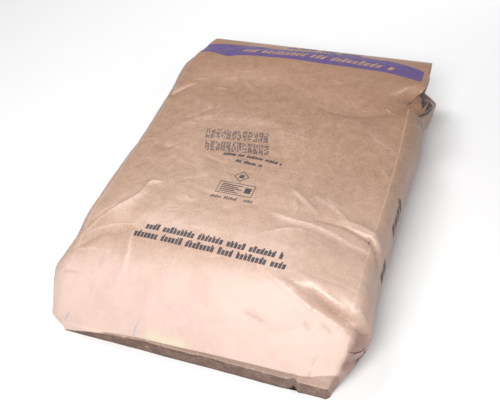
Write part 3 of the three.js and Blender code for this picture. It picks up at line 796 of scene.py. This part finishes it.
# %% A painted contact shadow: a dark rim where the paper turns under at the floor, along the end wall and the right gusset
CONTACT_SHADOW_DARK = (0.030, 0.018, 0.014, 1)
contact_shadow = smooth_step(kraft, sheet_v, -0.3492, -0.3520)
gusset_contact_shadow = maths(kraft, "MULTIPLY", smooth_step(kraft, sheet_u, 0.316, 0.334), smooth_step(kraft, sheet_v, 0.19, 0.12))
contact_shadow = maths(kraft, "MAXIMUM", contact_shadow, gusset_contact_shadow)
colour = tint(kraft, maths(kraft, "MULTIPLY", contact_shadow, 0.7), colour, CONTACT_SHADOW_DARK)

# %% The purple band, printed on the flat sheet
BAND_LOW = [
    # U, V of the lower edge
    (-0.2185, 0.2440), (-0.195, 0.2425), (-0.147, 0.2270), (-0.132, 0.2238), (-0.122, 0.2276), (-0.066, 0.2304),
    (-0.008, 0.2309), (0.043, 0.2284), (0.105, 0.2309), (0.171, 0.2326), (0.196, 0.2300),
]  # fmt: skip
BAND_HIGH = [
    # U, V of the upper edge
    (-0.2185, 0.2790), (-0.199, 0.2797), (-0.140, 0.2806), (-0.088, 0.2772), (-0.026, 0.2720), (0.078, 0.2867),
    (0.173, 0.2781), (0.196, 0.2690),
]  # fmt: skip
BAND_RIGHT, EDGE_BLUR = 0.1945, 0.0006
PURPLE = (0.118, 0.074, 0.272, 1)
above_low = maths(kraft, "SUBTRACT", sheet_v, sheet_line(kraft, sheet_u, BAND_LOW))
below_high = maths(kraft, "SUBTRACT", sheet_line(kraft, sheet_u, BAND_HIGH), sheet_v)
band = maths(
    kraft,
    "MULTIPLY",
    smooth_step(kraft, above_low, -EDGE_BLUR, EDGE_BLUR),
    smooth_step(kraft, below_high, -EDGE_BLUR, EDGE_BLUR),
)
band = maths(kraft, "MULTIPLY", band, smooth_step(kraft, sheet_u, BAND_RIGHT + EDGE_BLUR, BAND_RIGHT - EDGE_BLUR))
band = maths(kraft, "MULTIPLY", band, smooth_step(kraft, sheet_u, -0.2185, -0.217))
ink_cover = maths(kraft, "MULTIPLY_ADD", mottle, -0.35, 1.10)
colour = tint(kraft, maths(kraft, "MULTIPLY", band, ink_cover), colour, PURPLE)
kraft.links.new(colour, kraft_shader.inputs["Base Color"])

# %% Shine and surface height
gloss = maths(kraft, "MULTIPLY_ADD", mottle, 0.22, 0.31)
gloss = maths(kraft, "MULTIPLY_ADD", pale, 0.24, gloss)
gloss = maths(kraft, "MULTIPLY_ADD", end_share, 0.30, gloss)
gloss = maths(kraft, "MULTIPLY_ADD", worn_line, 0.2, gloss)
gloss = maths(kraft, "MULTIPLY_ADD", valley, 0.35, gloss)
kraft.links.new(gloss, kraft_shader.inputs["Roughness"])
kraft_shader.inputs["Specular IOR Level"].default_value = 1.0
kraft_shader.inputs["Specular Tint"].default_value = (1.0, 0.93, 0.88, 1)

crackle = add(kraft, "ShaderNodeTexVoronoi", {"Vector": on_object, "Scale": 26.0}, feature="DISTANCE_TO_EDGE")
crackle_lines = smooth_step(kraft, crackle.outputs["Distance"], 0.0, 0.05)
soft_dimples = speckle(kraft, on_object, 48.0, 3.0, 0.5)
surface = maths(kraft, "MULTIPLY_ADD", fibres, 0.10, maths(kraft, "MULTIPLY", soft_dimples, 0.9))
surface = maths(kraft, "MULTIPLY_ADD", crackle_lines, 0.10, surface)
kraft_bump = add(kraft, "ShaderNodeBump", {"Height": surface, "Distance": 0.0011, "Strength": 0.6})
kraft.links.new(kraft_bump.outputs[0], kraft_shader.inputs["Normal"])
paper_mesh.materials.append(kraft_paper)
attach(paper_sack, "root")
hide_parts("flour_sack")
print("kraft paper nodes:", len(kraft.nodes))

# %% [markdown]
# ### Inks
#
# The print is a dark grey-violet ink, thin enough for the paper's mottle to show through. The words on the
# purple band are bare paper, so their finish is the paper's own brown.


# %% Ink finishes
def ink_finish(name, thin, thick, roughness):
    """A finish for inks and for the painted shade of gaps, that varies between a thin and a thick coat, on the paper's
    own small bumps.
    """
    made, tree, shader = finish_named(name)
    where = add(tree, "ShaderNodeTexCoord").outputs["Object"]
    coat = smooth_step(tree, speckle(tree, where, 240.0, 4.0, 0.7), 0.30, 0.66)
    tree.links.new(tint(tree, coat, thin, thick), shader.inputs["Base Color"])
    tree.links.new(maths(tree, "MULTIPLY_ADD", coat, -0.15, roughness), shader.inputs["Roughness"])
    bumps = add(tree, "ShaderNodeBump", {"Height": speckle(tree, where, 400.0), "Distance": 0.0002, "Strength": 0.5})
    tree.links.new(bumps.outputs[0], shader.inputs["Normal"])
    return made


dark_ink = ink_finish("dark_violet_ink", (0.105, 0.080, 0.080, 1), (0.034, 0.030, 0.040, 1), 0.62)
grey_ink = ink_finish("blue_grey_code_ink", (0.150, 0.120, 0.125, 1), (0.050, 0.050, 0.072, 1), 0.62)
bare_kraft = ink_finish("bare_kraft_words", (0.42, 0.26, 0.22, 1), (0.55, 0.35, 0.25, 1), 0.58)
purple_ink = ink_finish("purple_ink", (0.20, 0.13, 0.27, 1), (0.120, 0.080, 0.250, 1), 0.55)
print("ink finishes:", [m.name for m in (dark_ink, grey_ink, bare_kraft, purple_ink)])

# %% [markdown]
# ### Print that follows the paper
#
# Print can be painted in the shader, but a row of fifty strokes is easier to lay out as geometry. Geometry Nodes
# fit well: they draw a row of strokes flat, as on the unfilled tube, and one shared group then carries every
# point to its place on the filled sack with Sample UV Surface. So the print bends over each fold as real ink
# does, and any row moves when its numbers change.
#
# The strokes spell nothing. They only have the rhythm of the lines of print on such a sack.

# %% A node group that lays flat print on the sack
INK_LIFT, INK_THICKNESS = 0.00018, 0.00008


def group_socket(tree, name, kind, value=None, way="INPUT"):
    socket = tree.interface.new_socket(name=name, in_out=way, socket_type=kind)
    if value is not None:
        socket.default_value = value
    return socket


lay_on_paper = bpy.data.node_groups.new("lay print on paper", "GeometryNodeTree")
group_socket(lay_on_paper, "Print", "NodeSocketGeometry")
group_socket(lay_on_paper, "Sack", "NodeSocketObject")
group_socket(lay_on_paper, "Lift", "NodeSocketFloat", INK_LIFT)
group_socket(lay_on_paper, "Thickness", "NodeSocketFloat", INK_THICKNESS)
group_socket(lay_on_paper, "Print", "NodeSocketGeometry", way="OUTPUT")
flat = add(lay_on_paper, "NodeGroupInput")
thick = add(
    lay_on_paper,
    "GeometryNodeExtrudeMesh",
    {"Mesh": flat.outputs["Print"], "Offset Scale": flat.outputs["Thickness"], "Individual": False},
)
under = add(lay_on_paper, "GeometryNodeFlipFaces", {"Mesh": flat.outputs["Print"]})
both = add(lay_on_paper, "GeometryNodeJoinGeometry")
lay_on_paper.links.new(thick.outputs["Mesh"], both.inputs[0])
lay_on_paper.links.new(under.outputs[0], both.inputs[0])
closed = add(lay_on_paper, "GeometryNodeMergeByDistance", {"Geometry": both.outputs[0], "Distance": 0.00001})
sack_shape = add(lay_on_paper, "GeometryNodeObjectInfo", {"Object": flat.outputs["Sack"]}).outputs["Geometry"]
sheet_place = add(lay_on_paper, "GeometryNodeInputNamedAttribute", {"Name": "UVMap"}, data_type="FLOAT_VECTOR")
here = add(lay_on_paper, "GeometryNodeInputPosition").outputs[0]


def sampled(value):
    """The sack's own value at the flat place of each point."""
    node = add(lay_on_paper, "GeometryNodeSampleUVSurface", {"Mesh": sack_shape}, data_type="FLOAT_VECTOR")
    lay_on_paper.links.new(value, node.inputs["Value"])
    lay_on_paper.links.new(sheet_place.outputs["Attribute"], node.inputs["Source UV Map"])
    lay_on_paper.links.new(here, node.inputs["Sample UV"])
    return node.outputs["Value"]


on_surface = sampled(add(lay_on_paper, "GeometryNodeInputPosition").outputs[0])
off_surface = sampled(add(lay_on_paper, "GeometryNodeInputNormal").outputs[0])
height = add(lay_on_paper, "ShaderNodeSeparateXYZ", {0: here}).outputs["Z"]
height = add(lay_on_paper, "ShaderNodeMath", {0: height, 1: flat.outputs["Lift"]}, operation="ADD").outputs[0]
raised = add(lay_on_paper, "ShaderNodeVectorMath", {0: off_surface, "Scale": height}, operation="SCALE").outputs[0]
target = add(lay_on_paper, "ShaderNodeVectorMath", {0: on_surface, 1: raised}, operation="ADD").outputs[0]
laid = add(lay_on_paper, "GeometryNodeSetPosition", {"Geometry": closed.outputs[0], "Position": target})
lay_out = add(lay_on_paper, "NodeGroupOutput", {0: laid.outputs[0]})
print("shared group nodes:", len(lay_on_paper.nodes))

# %% A tree that draws one row of strokes
ROW_INPUTS = [
    ("Strokes", "NodeSocketInt", 40),
    ("Pitch", "NodeSocketFloat", 0.0026),
    ("Pairing", "NodeSocketFloat", 0.12),
    ("Width", "NodeSocketFloat", 0.0017),
    ("Height", "NodeSocketFloat", 0.010),
    ("Slant", "NodeSocketFloat", 0.2),
    ("Bend", "NodeSocketFloat", 0.0),
    ("Angle", "NodeSocketFloat", 0.0),
    ("Start", "NodeSocketVector", (0.0, 0.0, 0.0)),
    ("Group", "NodeSocketInt", 7),
    ("Seed", "NodeSocketInt", 1),
    ("Sack", "NodeSocketObject", None),
    ("Ink", "NodeSocketMaterial", None),
]


def print_tree(name, sockets):
    """An empty tree with named inputs and one geometry output."""
    tree = bpy.data.node_groups.new(name, "GeometryNodeTree")
    for label, kind, value in sockets:
        group_socket(tree, label, kind, value)
    group_socket(tree, "Geometry", "NodeSocketGeometry", way="OUTPUT")
    return tree, add(tree, "NodeGroupInput").outputs


def finish_print(tree, given, strokes):
    """Lays flat print on the sack, and ends the tree with real geometry and its ink."""
    laid_print = add(tree, "GeometryNodeGroup", node_tree=lay_on_paper)
    tree.links.new(strokes, laid_print.inputs["Print"])
    tree.links.new(given["Sack"], laid_print.inputs["Sack"])
    real = add(tree, "GeometryNodeRealizeInstances", {0: laid_print.outputs[0]})
    inked = add(tree, "GeometryNodeSetMaterial", {"Geometry": real.outputs[0], "Material": given["Ink"]})
    add(tree, "NodeGroupOutput", {0: inked.outputs[0]})


def move_points(tree, geometry, x, y):
    """Sets flat X and Y of every point."""
    spot = add(tree, "ShaderNodeCombineXYZ", {"X": x, "Y": y}).outputs[0]
    return add(tree, "GeometryNodeSetPosition", {"Geometry": geometry, "Position": spot}).outputs[0]


def flat_xy(tree):
    split = add(tree, "ShaderNodeSeparateXYZ", {0: add(tree, "GeometryNodeInputPosition").outputs[0]})
    return split.outputs["X"], split.outputs["Y"]


def place_row(tree, given, geometry):
    """Slants, bends, turns and moves a row that was drawn from the origin along X."""
    x, y = flat_xy(tree)
    length = maths(tree, "MULTIPLY", given["Pitch"], given["Strokes"])
    from_middle = maths(tree, "SUBTRACT", maths(tree, "DIVIDE", x, length), 0.5)
    sag = maths(tree, "MULTIPLY", maths(tree, "MULTIPLY", from_middle, from_middle), given["Bend"])
    slanted_row = move_points(
        tree, geometry, maths(tree, "MULTIPLY_ADD", y, given["Slant"], x), maths(tree, "ADD", y, sag)
    )
    turn = add(tree, "ShaderNodeCombineXYZ", {"Z": given["Angle"]}).outputs[0]
    return add(
        tree,
        "GeometryNodeTransform",
        {"Geometry": slanted_row, "Translation": given["Start"], "Rotation": turn},
    ).outputs[0]


stroke_row, given = print_tree("row of print strokes", ROW_INPUTS)
GRID_ALONG, GRID_UP = 3, 9
stroke = add(
    stroke_row,
    "GeometryNodeMeshGrid",
    {"Size X": 1.0, "Size Y": 1.0, "Vertices X": GRID_ALONG, "Vertices Y": GRID_UP},
).outputs[0]
stroke = add(stroke_row, "GeometryNodeTransform", {"Geometry": stroke, "Translation": (0.0, 0.5, 0.0)}).outputs[0]
step = add(stroke_row, "ShaderNodeCombineXYZ", {"X": given["Pitch"]}).outputs[0]
line = add(stroke_row, "GeometryNodeMeshLine", {"Count": given["Strokes"], "Offset": step}).outputs[0]
counter = add(stroke_row, "GeometryNodeInputIndex").outputs[0]


def chance(tree, low, high, seed_shift, given, each=None):
    """A fixed random number for each stroke, or for each value of another number."""
    seed = maths(tree, "ADD", given["Seed"], seed_shift)
    drawn = add(tree, "FunctionNodeRandomValue", data_type="FLOAT")
    sockets = {s.name: s for s in drawn.inputs if s.enabled}
    sockets["Min"].default_value, sockets["Max"].default_value = low, high
    tree.links.new(seed, sockets["Seed"])
    if each is not None:
        tree.links.new(each, sockets["ID"])
    return next(s for s in drawn.outputs if s.enabled)


pair = maths(stroke_row, "FLOOR", maths(stroke_row, "MULTIPLY", counter, 0.5))
second = maths(stroke_row, "MODULO", counter, 2.0)
nudge = maths(stroke_row, "MULTIPLY", given["Pairing"], maths(stroke_row, "MULTIPLY_ADD", second, -2.0, 1.0))
nudge = add(stroke_row, "ShaderNodeCombineXYZ", {"X": maths(stroke_row, "MULTIPLY", nudge, given["Pitch"])}).outputs[0]
line = add(stroke_row, "GeometryNodeSetPosition", {"Geometry": line, "Offset": nudge}).outputs[0]
group_number = maths(stroke_row, "FLOOR", maths(stroke_row, "DIVIDE", pair, given["Group"]))
place_in_group = maths(stroke_row, "MODULO", pair, given["Group"])
gap_place = chance(stroke_row, 0.45, 0.99, 5, given, group_number)
gap_place = maths(stroke_row, "FLOOR", maths(stroke_row, "MULTIPLY", gap_place, given["Group"]))
left_out = maths(stroke_row, "COMPARE", place_in_group, gap_place, 0.1)
words = add(stroke_row, "GeometryNodeDeleteGeometry", {"Geometry": line, "Selection": left_out}).outputs[0]
wide = maths(stroke_row, "MULTIPLY", given["Width"], chance(stroke_row, 0.8, 1.2, 10, given))
tall_share = maths(stroke_row, "GREATER_THAN", chance(stroke_row, 0.0, 1.0, 20, given), 0.70)
tall = maths(stroke_row, "MULTIPLY", given["Height"], maths(stroke_row, "MULTIPLY_ADD", tall_share, 0.27, 0.73))
size = add(stroke_row, "ShaderNodeCombineXYZ", {"X": wide, "Y": tall, "Z": 1.0}).outputs[0]
strokes = add(stroke_row, "GeometryNodeInstanceOnPoints", {"Points": words, "Instance": stroke, "Scale": size}).outputs[0]
strokes = add(stroke_row, "GeometryNodeRealizeInstances", {0: strokes}).outputs[0]
finish_print(stroke_row, given, place_row(stroke_row, given, strokes))
print("stroke row nodes:", len(stroke_row.nodes))

# %% A tree that draws one row of dot code
CODE_INPUTS = [
    ("Strokes", "NodeSocketInt", 12),
    ("Pitch", "NodeSocketFloat", 0.0088),
    ("Dots across", "NodeSocketInt", 5),
    ("Dots up", "NodeSocketInt", 7),
    ("Dot", "NodeSocketFloat", 0.00120),
    ("Width", "NodeSocketFloat", 0.0050),
    ("Height", "NodeSocketFloat", 0.0195),
    ("Slant", "NodeSocketFloat", 0.1),
    ("Bend", "NodeSocketFloat", 0.0),
    ("Angle", "NodeSocketFloat", 0.0),
    ("Start", "NodeSocketVector", (0.0, 0.0, 0.0)),
    ("Gaps", "NodeSocketFloat", 0.60),
    ("Seed", "NodeSocketInt", 5),
    ("Sack", "NodeSocketObject", None),
    ("Ink", "NodeSocketMaterial", None),
]
code_row, given = print_tree("row of dot code", CODE_INPUTS)
cell = add(
    code_row,
    "GeometryNodeMeshGrid",
    {
        "Size X": given["Width"],
        "Size Y": given["Height"],
        "Vertices X": given["Dots across"],
        "Vertices Y": given["Dots up"],
    },
).outputs[0]
lift_cell = add(code_row, "ShaderNodeCombineXYZ", {"Y": maths(code_row, "MULTIPLY", given["Height"], 0.5)}).outputs[0]
cell = add(code_row, "GeometryNodeTransform", {"Geometry": cell, "Translation": lift_cell}).outputs[0]
x, y = flat_xy(code_row)
outer = maths(code_row, "GREATER_THAN", maths(code_row, "ABSOLUTE", x), maths(code_row, "MULTIPLY", given["Width"], 0.4))
outer_kept = add(code_row, "GeometryNodeStoreNamedAttribute", {"Geometry": cell, "Name": "outer dot", "Value": outer})
step = add(code_row, "ShaderNodeCombineXYZ", {"X": given["Pitch"]}).outputs[0]
line = add(code_row, "GeometryNodeMeshLine", {"Count": given["Strokes"], "Offset": step}).outputs[0]
cells = add(code_row, "GeometryNodeInstanceOnPoints", {"Points": line, "Instance": outer_kept.outputs[0]}).outputs[0]
cells = add(code_row, "GeometryNodeRealizeInstances", {0: cells}).outputs[0]
is_outer = add(code_row, "GeometryNodeInputNamedAttribute", {"Name": "outer dot"}, data_type="FLOAT").outputs[0]
missing = maths(code_row, "MULTIPLY_ADD", is_outer, -0.30, given["Gaps"])
absent = maths(code_row, "LESS_THAN", chance(code_row, 0.0, 1.0, 0, given), missing)
cells = add(code_row, "GeometryNodeDeleteGeometry", {"Geometry": cells, "Selection": absent}).outputs[0]
dot = add(code_row, "GeometryNodeMeshCircle", {"Vertices": 7, "Radius": given["Dot"]}, fill_type="NGON").outputs[0]
dots = add(code_row, "GeometryNodeInstanceOnPoints", {"Points": cells, "Instance": dot}).outputs[0]
dots = add(code_row, "GeometryNodeRealizeInstances", {0: dots}).outputs[0]
finish_print(code_row, given, place_row(code_row, given, dots))
print("dot code nodes:", len(code_row.nodes))


# %% Run a tree, and keep a plain mesh
def printed(tree, drawing=None, **sizes):
    """Runs a tree with these sizes, on a flat drawing if there is one, and returns the mesh it made."""
    carrier = bpy.data.objects.new("print_carrier", drawing or bpy.data.meshes.new("print_carrier"))
    bpy.context.scene.collection.objects.link(carrier)
    modifier = carrier.modifiers.new("print", "NODES")
    modifier.node_group = tree
    sizes = {"Sack": paper_sack, **sizes}
    for socket in tree.interface.items_tree:
        if socket.in_out == "INPUT" and socket.name in sizes:
            modifier[socket.identifier] = sizes[socket.name]
    carrier.update_tag()
    evaluated = carrier.evaluated_get(bpy.context.evaluated_depsgraph_get())
    mesh = bpy.data.meshes.new_from_object(evaluated)
    bpy.data.objects.remove(carrier)
    return mesh


def print_piece(name, rows, ink):
    """Joins rows of print into one piece that rides on the sack."""
    joined = bmesh.new()
    for mesh in rows:
        joined.from_mesh(mesh)
        bpy.data.meshes.remove(mesh)
    piece_mesh = bpy.data.meshes.new(name)
    joined.to_mesh(piece_mesh)
    joined.free()
    piece_mesh.materials.clear()
    piece_mesh.materials.append(ink)
    piece_mesh.polygons.foreach_set("material_index", [0] * len(piece_mesh.polygons))
    piece = bpy.data.objects.new(name, piece_mesh)
    bpy.context.scene.collection.objects.link(piece)
    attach(piece, "root")
    print(name, len(piece_mesh.polygons), "faces")
    return piece


# %% The dot code
print_piece(
    "dot_code",
    [
        printed(code_row, Start=(-0.0900, -0.0092, 0), Angle=0.066, Slant=-0.12, Seed=5, Ink=grey_ink),
        printed(code_row, Start=(-0.0795, -0.0374, 0), Angle=0.072, Slant=-0.22, Seed=8, Ink=grey_ink),
    ],
    grey_ink,
)

# %% The small rows and the two bold rows
SMALL = {"Pitch": 0.0017, "Width": 0.00135, "Height": 0.0062, "Slant": 0.1, "Group": 7}
FAINT = {"Pitch": 0.0017, "Width": 0.0009, "Height": 0.0060, "Slant": 0.1, "Group": 7}
BOLD = {"Pitch": 0.00267, "Width": 0.0022, "Height": 0.0098, "Slant": 0.1, "Group": 8}
print_piece(
    "small_print",
    [
        printed(stroke_row, **SMALL, Strokes=56, Start=(-0.048, -0.0420, 0), Angle=-0.04, Bend=-0.012, Seed=21),
        printed(stroke_row, **SMALL, Strokes=26, Start=(-0.024, -0.0563, 0), Angle=-0.065, Seed=22),
        printed(stroke_row, **FAINT, Strokes=24, Start=(-0.032, -0.1352, 0), Seed=23),
        printed(stroke_row, **FAINT, Strokes=8, Start=(0.018, -0.1342, 0), Seed=24),
    ],
    dark_ink,
)
print_piece(
    "bold_print",
    [
        printed(stroke_row, **BOLD, Strokes=76, Start=(-0.0990, -0.2132, 0), Angle=-0.02, Seed=31),
        printed(stroke_row, **BOLD, Strokes=84, Start=(-0.1130, -0.2260, 0), Angle=-0.02, Seed=32),
    ],
    dark_ink,
)

# %% A tree that lays any flat drawing, and a drawing made of outlines and bars
drawing_tree = bpy.data.node_groups.new("flat drawing on paper", "GeometryNodeTree")
group_socket(drawing_tree, "Drawing", "NodeSocketGeometry")
group_socket(drawing_tree, "Sack", "NodeSocketObject")
group_socket(drawing_tree, "Ink", "NodeSocketMaterial")
group_socket(drawing_tree, "Geometry", "NodeSocketGeometry", way="OUTPUT")
given = add(drawing_tree, "NodeGroupInput").outputs
finish_print(drawing_tree, given, given["Drawing"])
STEPS = 14
FINE_STEP = 1.5


def outline(left, top, right, bottom, width, turned=False):
    """A hollow box, or a hollow diamond if turned, as a ring of flat quads."""
    centre = np.array([(left + right) / 2, (top + bottom) / 2])
    half = np.array([(right - left) / 2, (top - bottom) / 2])
    corners = [(0, 1), (1, 0), (0, -1), (-1, 0)] if turned else [(-1, 1), (1, 1), (1, -1), (-1, -1)]
    around = [mix(np.array(a), np.array(b), i / STEPS) for a, b in zip(corners, corners[1:] + corners[:1])
              for i in range(STEPS)]
    outer = [centre + half * p for p in around]
    inner = [centre + (half - width) * p for p in around]
    count = len(around)
    faces = [(i, i + count, (i + 1) % count + count, (i + 1) % count) for i in range(count)]
    return outer + inner, faces


def bar(left, right, middle, height):
    """A filled bar of flat quads, small enough to follow the paper."""
    across, up = (max(1, math.ceil(size / FINE_STEP)) for size in (right - left, height))
    xs, ys = np.linspace(left, right, across + 1), np.linspace(middle + height / 2, middle - height / 2, up + 1)
    corner = [np.array([x, y]) for x in xs for y in ys]
    first = [i * (up + 1) + j for i in range(across) for j in range(up)]
    return corner, [(k, k + 1, k + up + 2, k + up + 1) for k in first]


def ribbon(line, widths):
    """A flat strip along a line of points, with its own width at each of them."""
    at = np.linspace(0, len(line) - 1, (len(line) - 1) * STEPS // 2 + 1)
    middle = np.stack([np.interp(at, np.arange(len(line)), [p[i] for p in line]) for i in (0, 1)], axis=1)
    ways = np.gradient(middle, axis=0)
    sideways = np.stack([-ways[:, 1], ways[:, 0]], axis=1) / np.linalg.norm(ways, axis=1, keepdims=True)
    half_width = np.interp(at, np.arange(len(line)), widths)[:, None] / 2
    edges = np.stack([middle + sideways * half_width, middle - sideways * half_width], axis=1).reshape(-1, 2)
    return list(edges), [(2 * k, 2 * k + 1, 2 * k + 3, 2 * k + 2) for k in range(len(at) - 1)]


def drawn(shapes, ink):
    """Joins flat shapes, lays them on the sack and returns the mesh."""
    corners, faces = [], []
    for shape_corners, shape_faces in shapes:
        faces += [tuple(i + len(corners) for i in face) for face in shape_faces]
        corners += [(float(x) * MM, float(y) * MM, 0.0) for x, y in shape_corners]
    flat_mesh = bpy.data.meshes.new("flat_drawing")
    flat_mesh.from_pydata(corners, [], faces)
    return printed(drawing_tree, flat_mesh, Ink=ink)


# %% The emblem: a diamond with a dot, over a box with a square and short lines
print_piece(
    "emblem",
    [
        drawn(
            [
                outline(-14.0, -74.0, 10.0, -97.0, 1.5, turned=True),
                bar(-5.5, 1.5, -85.5, 7.0),
                outline(-29.0, -100.5, 26.0, -124.5, 0.9),
                bar(12.5, 22.0, -112.3, 10.5),
                bar(-25.0, 7.0, -105.5, 1.6),
                bar(-25.0, 2.0, -109.3, 1.6),
                bar(-25.0, 8.0, -113.1, 1.6),
                bar(-25.0, -2.0, -116.9, 1.6),
                bar(-25.0, 5.0, -120.4, 1.2),
            ],
            dark_ink,
        )
    ],
    dark_ink,
)

# %% Stray marks at the near end: two short blue lines and a yellow sliver; and dark slivers of painted shade in the gaps of the crushed corner
blue_ink = ink_finish("pale_blue_ink", (0.42, 0.47, 0.56, 1), (0.28, 0.38, 0.55, 1), 0.6)
yellow_ink = ink_finish("yellow_ink", (0.50, 0.40, 0.10, 1), (0.42, 0.33, 0.04, 1), 0.6)
# Not an ink: a near black finish for painted shade, where the crushed paper leaves gaps.
gap_shade_finish = ink_finish("painted_gap_shade", (0.030, 0.020, 0.018, 1), (0.010, 0.010, 0.014, 1), 0.8)
BLUE_LINES = [
    ribbon([(-186.5, -315.5), (-190.5, -318.5), (-194.5, -322.0), (-195.5, -325.5)], [0.3, 1.1, 1.2, 0.7]),
    ribbon([(-74.5, -311.0), (-78.5, -315.0), (-80.7, -319.5), (-81.0, -323.0)], [0.3, 1.1, 1.2, 0.5]),
]
print_piece("blue_marks", [drawn(BLUE_LINES, blue_ink)], blue_ink)
print_piece("yellow_sliver", [drawn([ribbon([(-87, -330.0), (-75, -333.5), (-62, -336.5)], [0.4, 3.0, 3.6])], yellow_ink)], yellow_ink)
GAP_SHADE_LINES = [
    ribbon([(252, -295), (245, -289), (239.5, -281)], [0.5, 4.2, 1.5]),
    ribbon([(151, -346.0), (154, -349.5), (159, -352.2)], [0.5, 2.6, 3.6]),
    ribbon([(213, -293.5), (223, -291), (232, -286), (239, -279)], [0.2, 0.8, 0.8, 0.3]),
]
print_piece("corner_gap", [drawn(GAP_SHADE_LINES, gap_shade_finish)], gap_shade_finish)

# %% Words on the band, the row beyond it, and the big strokes on the right gusset
BAND_WORDS = {"Pitch": 0.0046, "Width": 0.0031, "Height": 0.018, "Slant": 0.25, "Group": 7}
GUSSET_WORDS = {"Pitch": 0.0082, "Width": 0.0052, "Height": 0.030, "Slant": 0.25, "Group": 40}
EAR_WORDS = {"Pitch": 0.0080, "Width": 0.0050, "Height": 0.025, "Slant": -1.8, "Group": 40}
DOWN_THE_SIDE = math.pi / 2
print_piece(
    "band_words",
    [printed(stroke_row, **BAND_WORDS, Strokes=58, Start=(-0.115, 0.2445, 0), Seed=41)],
    bare_kraft,
)
print_piece(
    "row_beyond_band",
    [printed(stroke_row, **BAND_WORDS, Strokes=30, Start=(-0.048, 0.2865, 0), Seed=42)],
    purple_ink,
)
print_piece(
    "gusset_words",
    [
        printed(stroke_row, **EAR_WORDS, Strokes=7, Start=(0.247, 0.204, 0), Angle=DOWN_THE_SIDE, Seed=51),
        printed(stroke_row, **GUSSET_WORDS, Strokes=8, Start=(0.258, -0.095, 0), Angle=DOWN_THE_SIDE, Seed=52),
        printed(stroke_row, **GUSSET_WORDS, Strokes=4, Start=(0.272, -0.175, 0), Angle=DOWN_THE_SIDE, Seed=53),
    ],
    dark_ink,
)

# %% [markdown]
# ### A plain studio
#
# The floor is plain and nearly white. A big soft light hangs behind and above the sack, so that its shadow falls
# softly towards us. The key light stands close to the camera, a little to its left. Where the near slope tilts
# up to face us it returns that light as a broad sheen, with more sheen painted into the paper there, and the top
# of the sack, which leans away, stays brown.

# %% Floor
FLOOR_SIZE = 12.0
floor_mesh = bpy.data.meshes.new("floor")
corners = [(x * FLOOR_SIZE / 2, y * FLOOR_SIZE / 2, -0.0002) for x, y in ((-1, -1), (1, -1), (1, 1), (-1, 1))]
floor_mesh.from_pydata(corners, [], [(0, 1, 2, 3)])
floor = bpy.data.objects.new("floor", floor_mesh)
bpy.context.scene.collection.objects.link(floor)
pale_floor, floor_tree, floor_shader = finish_named("pale_floor")
floor_shader.inputs["Base Color"].default_value = (0.95, 0.95, 0.95, 1)
floor_shader.inputs["Roughness"].default_value = 0.9
floor_mesh.materials.append(pale_floor)
print("floor", FLOOR_SIZE, "m square")

# %% Camera
PHOTO_WIDTH, PHOTO_HEIGHT = 500, 400
FOCAL_PIXELS, SENSOR_WIDTH = 664.6, 36.0
CAMERA_PLACE = Vector((0.2903 - middle_x * MM, -0.7465, 0.8130))
CAMERA_LOOKS = Vector((-0.28233, 0.64781, -0.70755)).normalized()
CAMERA_UP = Vector((-0.17587, 0.69011, 0.70202)).normalized()
camera_right = CAMERA_LOOKS.cross(CAMERA_UP).normalized()
camera_data = bpy.data.cameras.new("photo_camera")
camera_data.sensor_width = SENSOR_WIDTH
camera_data.lens = FOCAL_PIXELS / PHOTO_WIDTH * SENSOR_WIDTH
camera = bpy.data.objects.new("photo_camera", camera_data)
axes = Matrix((camera_right, camera_right.cross(CAMERA_LOOKS), -CAMERA_LOOKS)).transposed()
camera.matrix_world = Matrix.Translation(CAMERA_PLACE) @ axes.to_4x4()
bpy.context.scene.collection.objects.link(camera)
bpy.context.scene.camera = camera
print("lens", round(camera_data.lens, 2), "mm, distance", round(CAMERA_PLACE.length, 3), "m")


# %% Lights
def soft_light(name, place, aim, size, power):
    """A square area light that points at aim."""
    data = bpy.data.lights.new(name, "AREA")
    data.shape, data.size, data.energy = "SQUARE", size, power
    light = bpy.data.objects.new(name, data)
    light.matrix_world = Matrix.Translation(place) @ (Vector(aim) - Vector(place)).to_track_quat("-Z", "Y").to_matrix().to_4x4()
    bpy.context.scene.collection.objects.link(light)
    return light


soft_light("key_front", (0.10, -1.15, 1.22), (0, -0.10, 0.05), 0.7, 22)
soft_light("fill_behind_left", (-0.75, 0.50, 1.80), (0, 0, 0.05), 0.7, 15)
soft_light("fill_right", (1.25, -0.15, 1.1), (0, 0, 0.05), 1.0, 2)
soft_light("floor_behind", (0.20, 1.20, 1.20), (0.10, 2.40, 0.0), 0.6, 11)

studio = bpy.data.worlds.new("studio")
studio.use_nodes = True
studio.node_tree.nodes["Background"].inputs["Color"].default_value = (1, 1, 1, 1)
studio.node_tree.nodes["Background"].inputs["Strength"].default_value = 0.24
bpy.context.scene.world = studio
bpy.context.scene.view_settings.view_transform = "Standard"
bpy.context.scene.view_settings.look = "None"
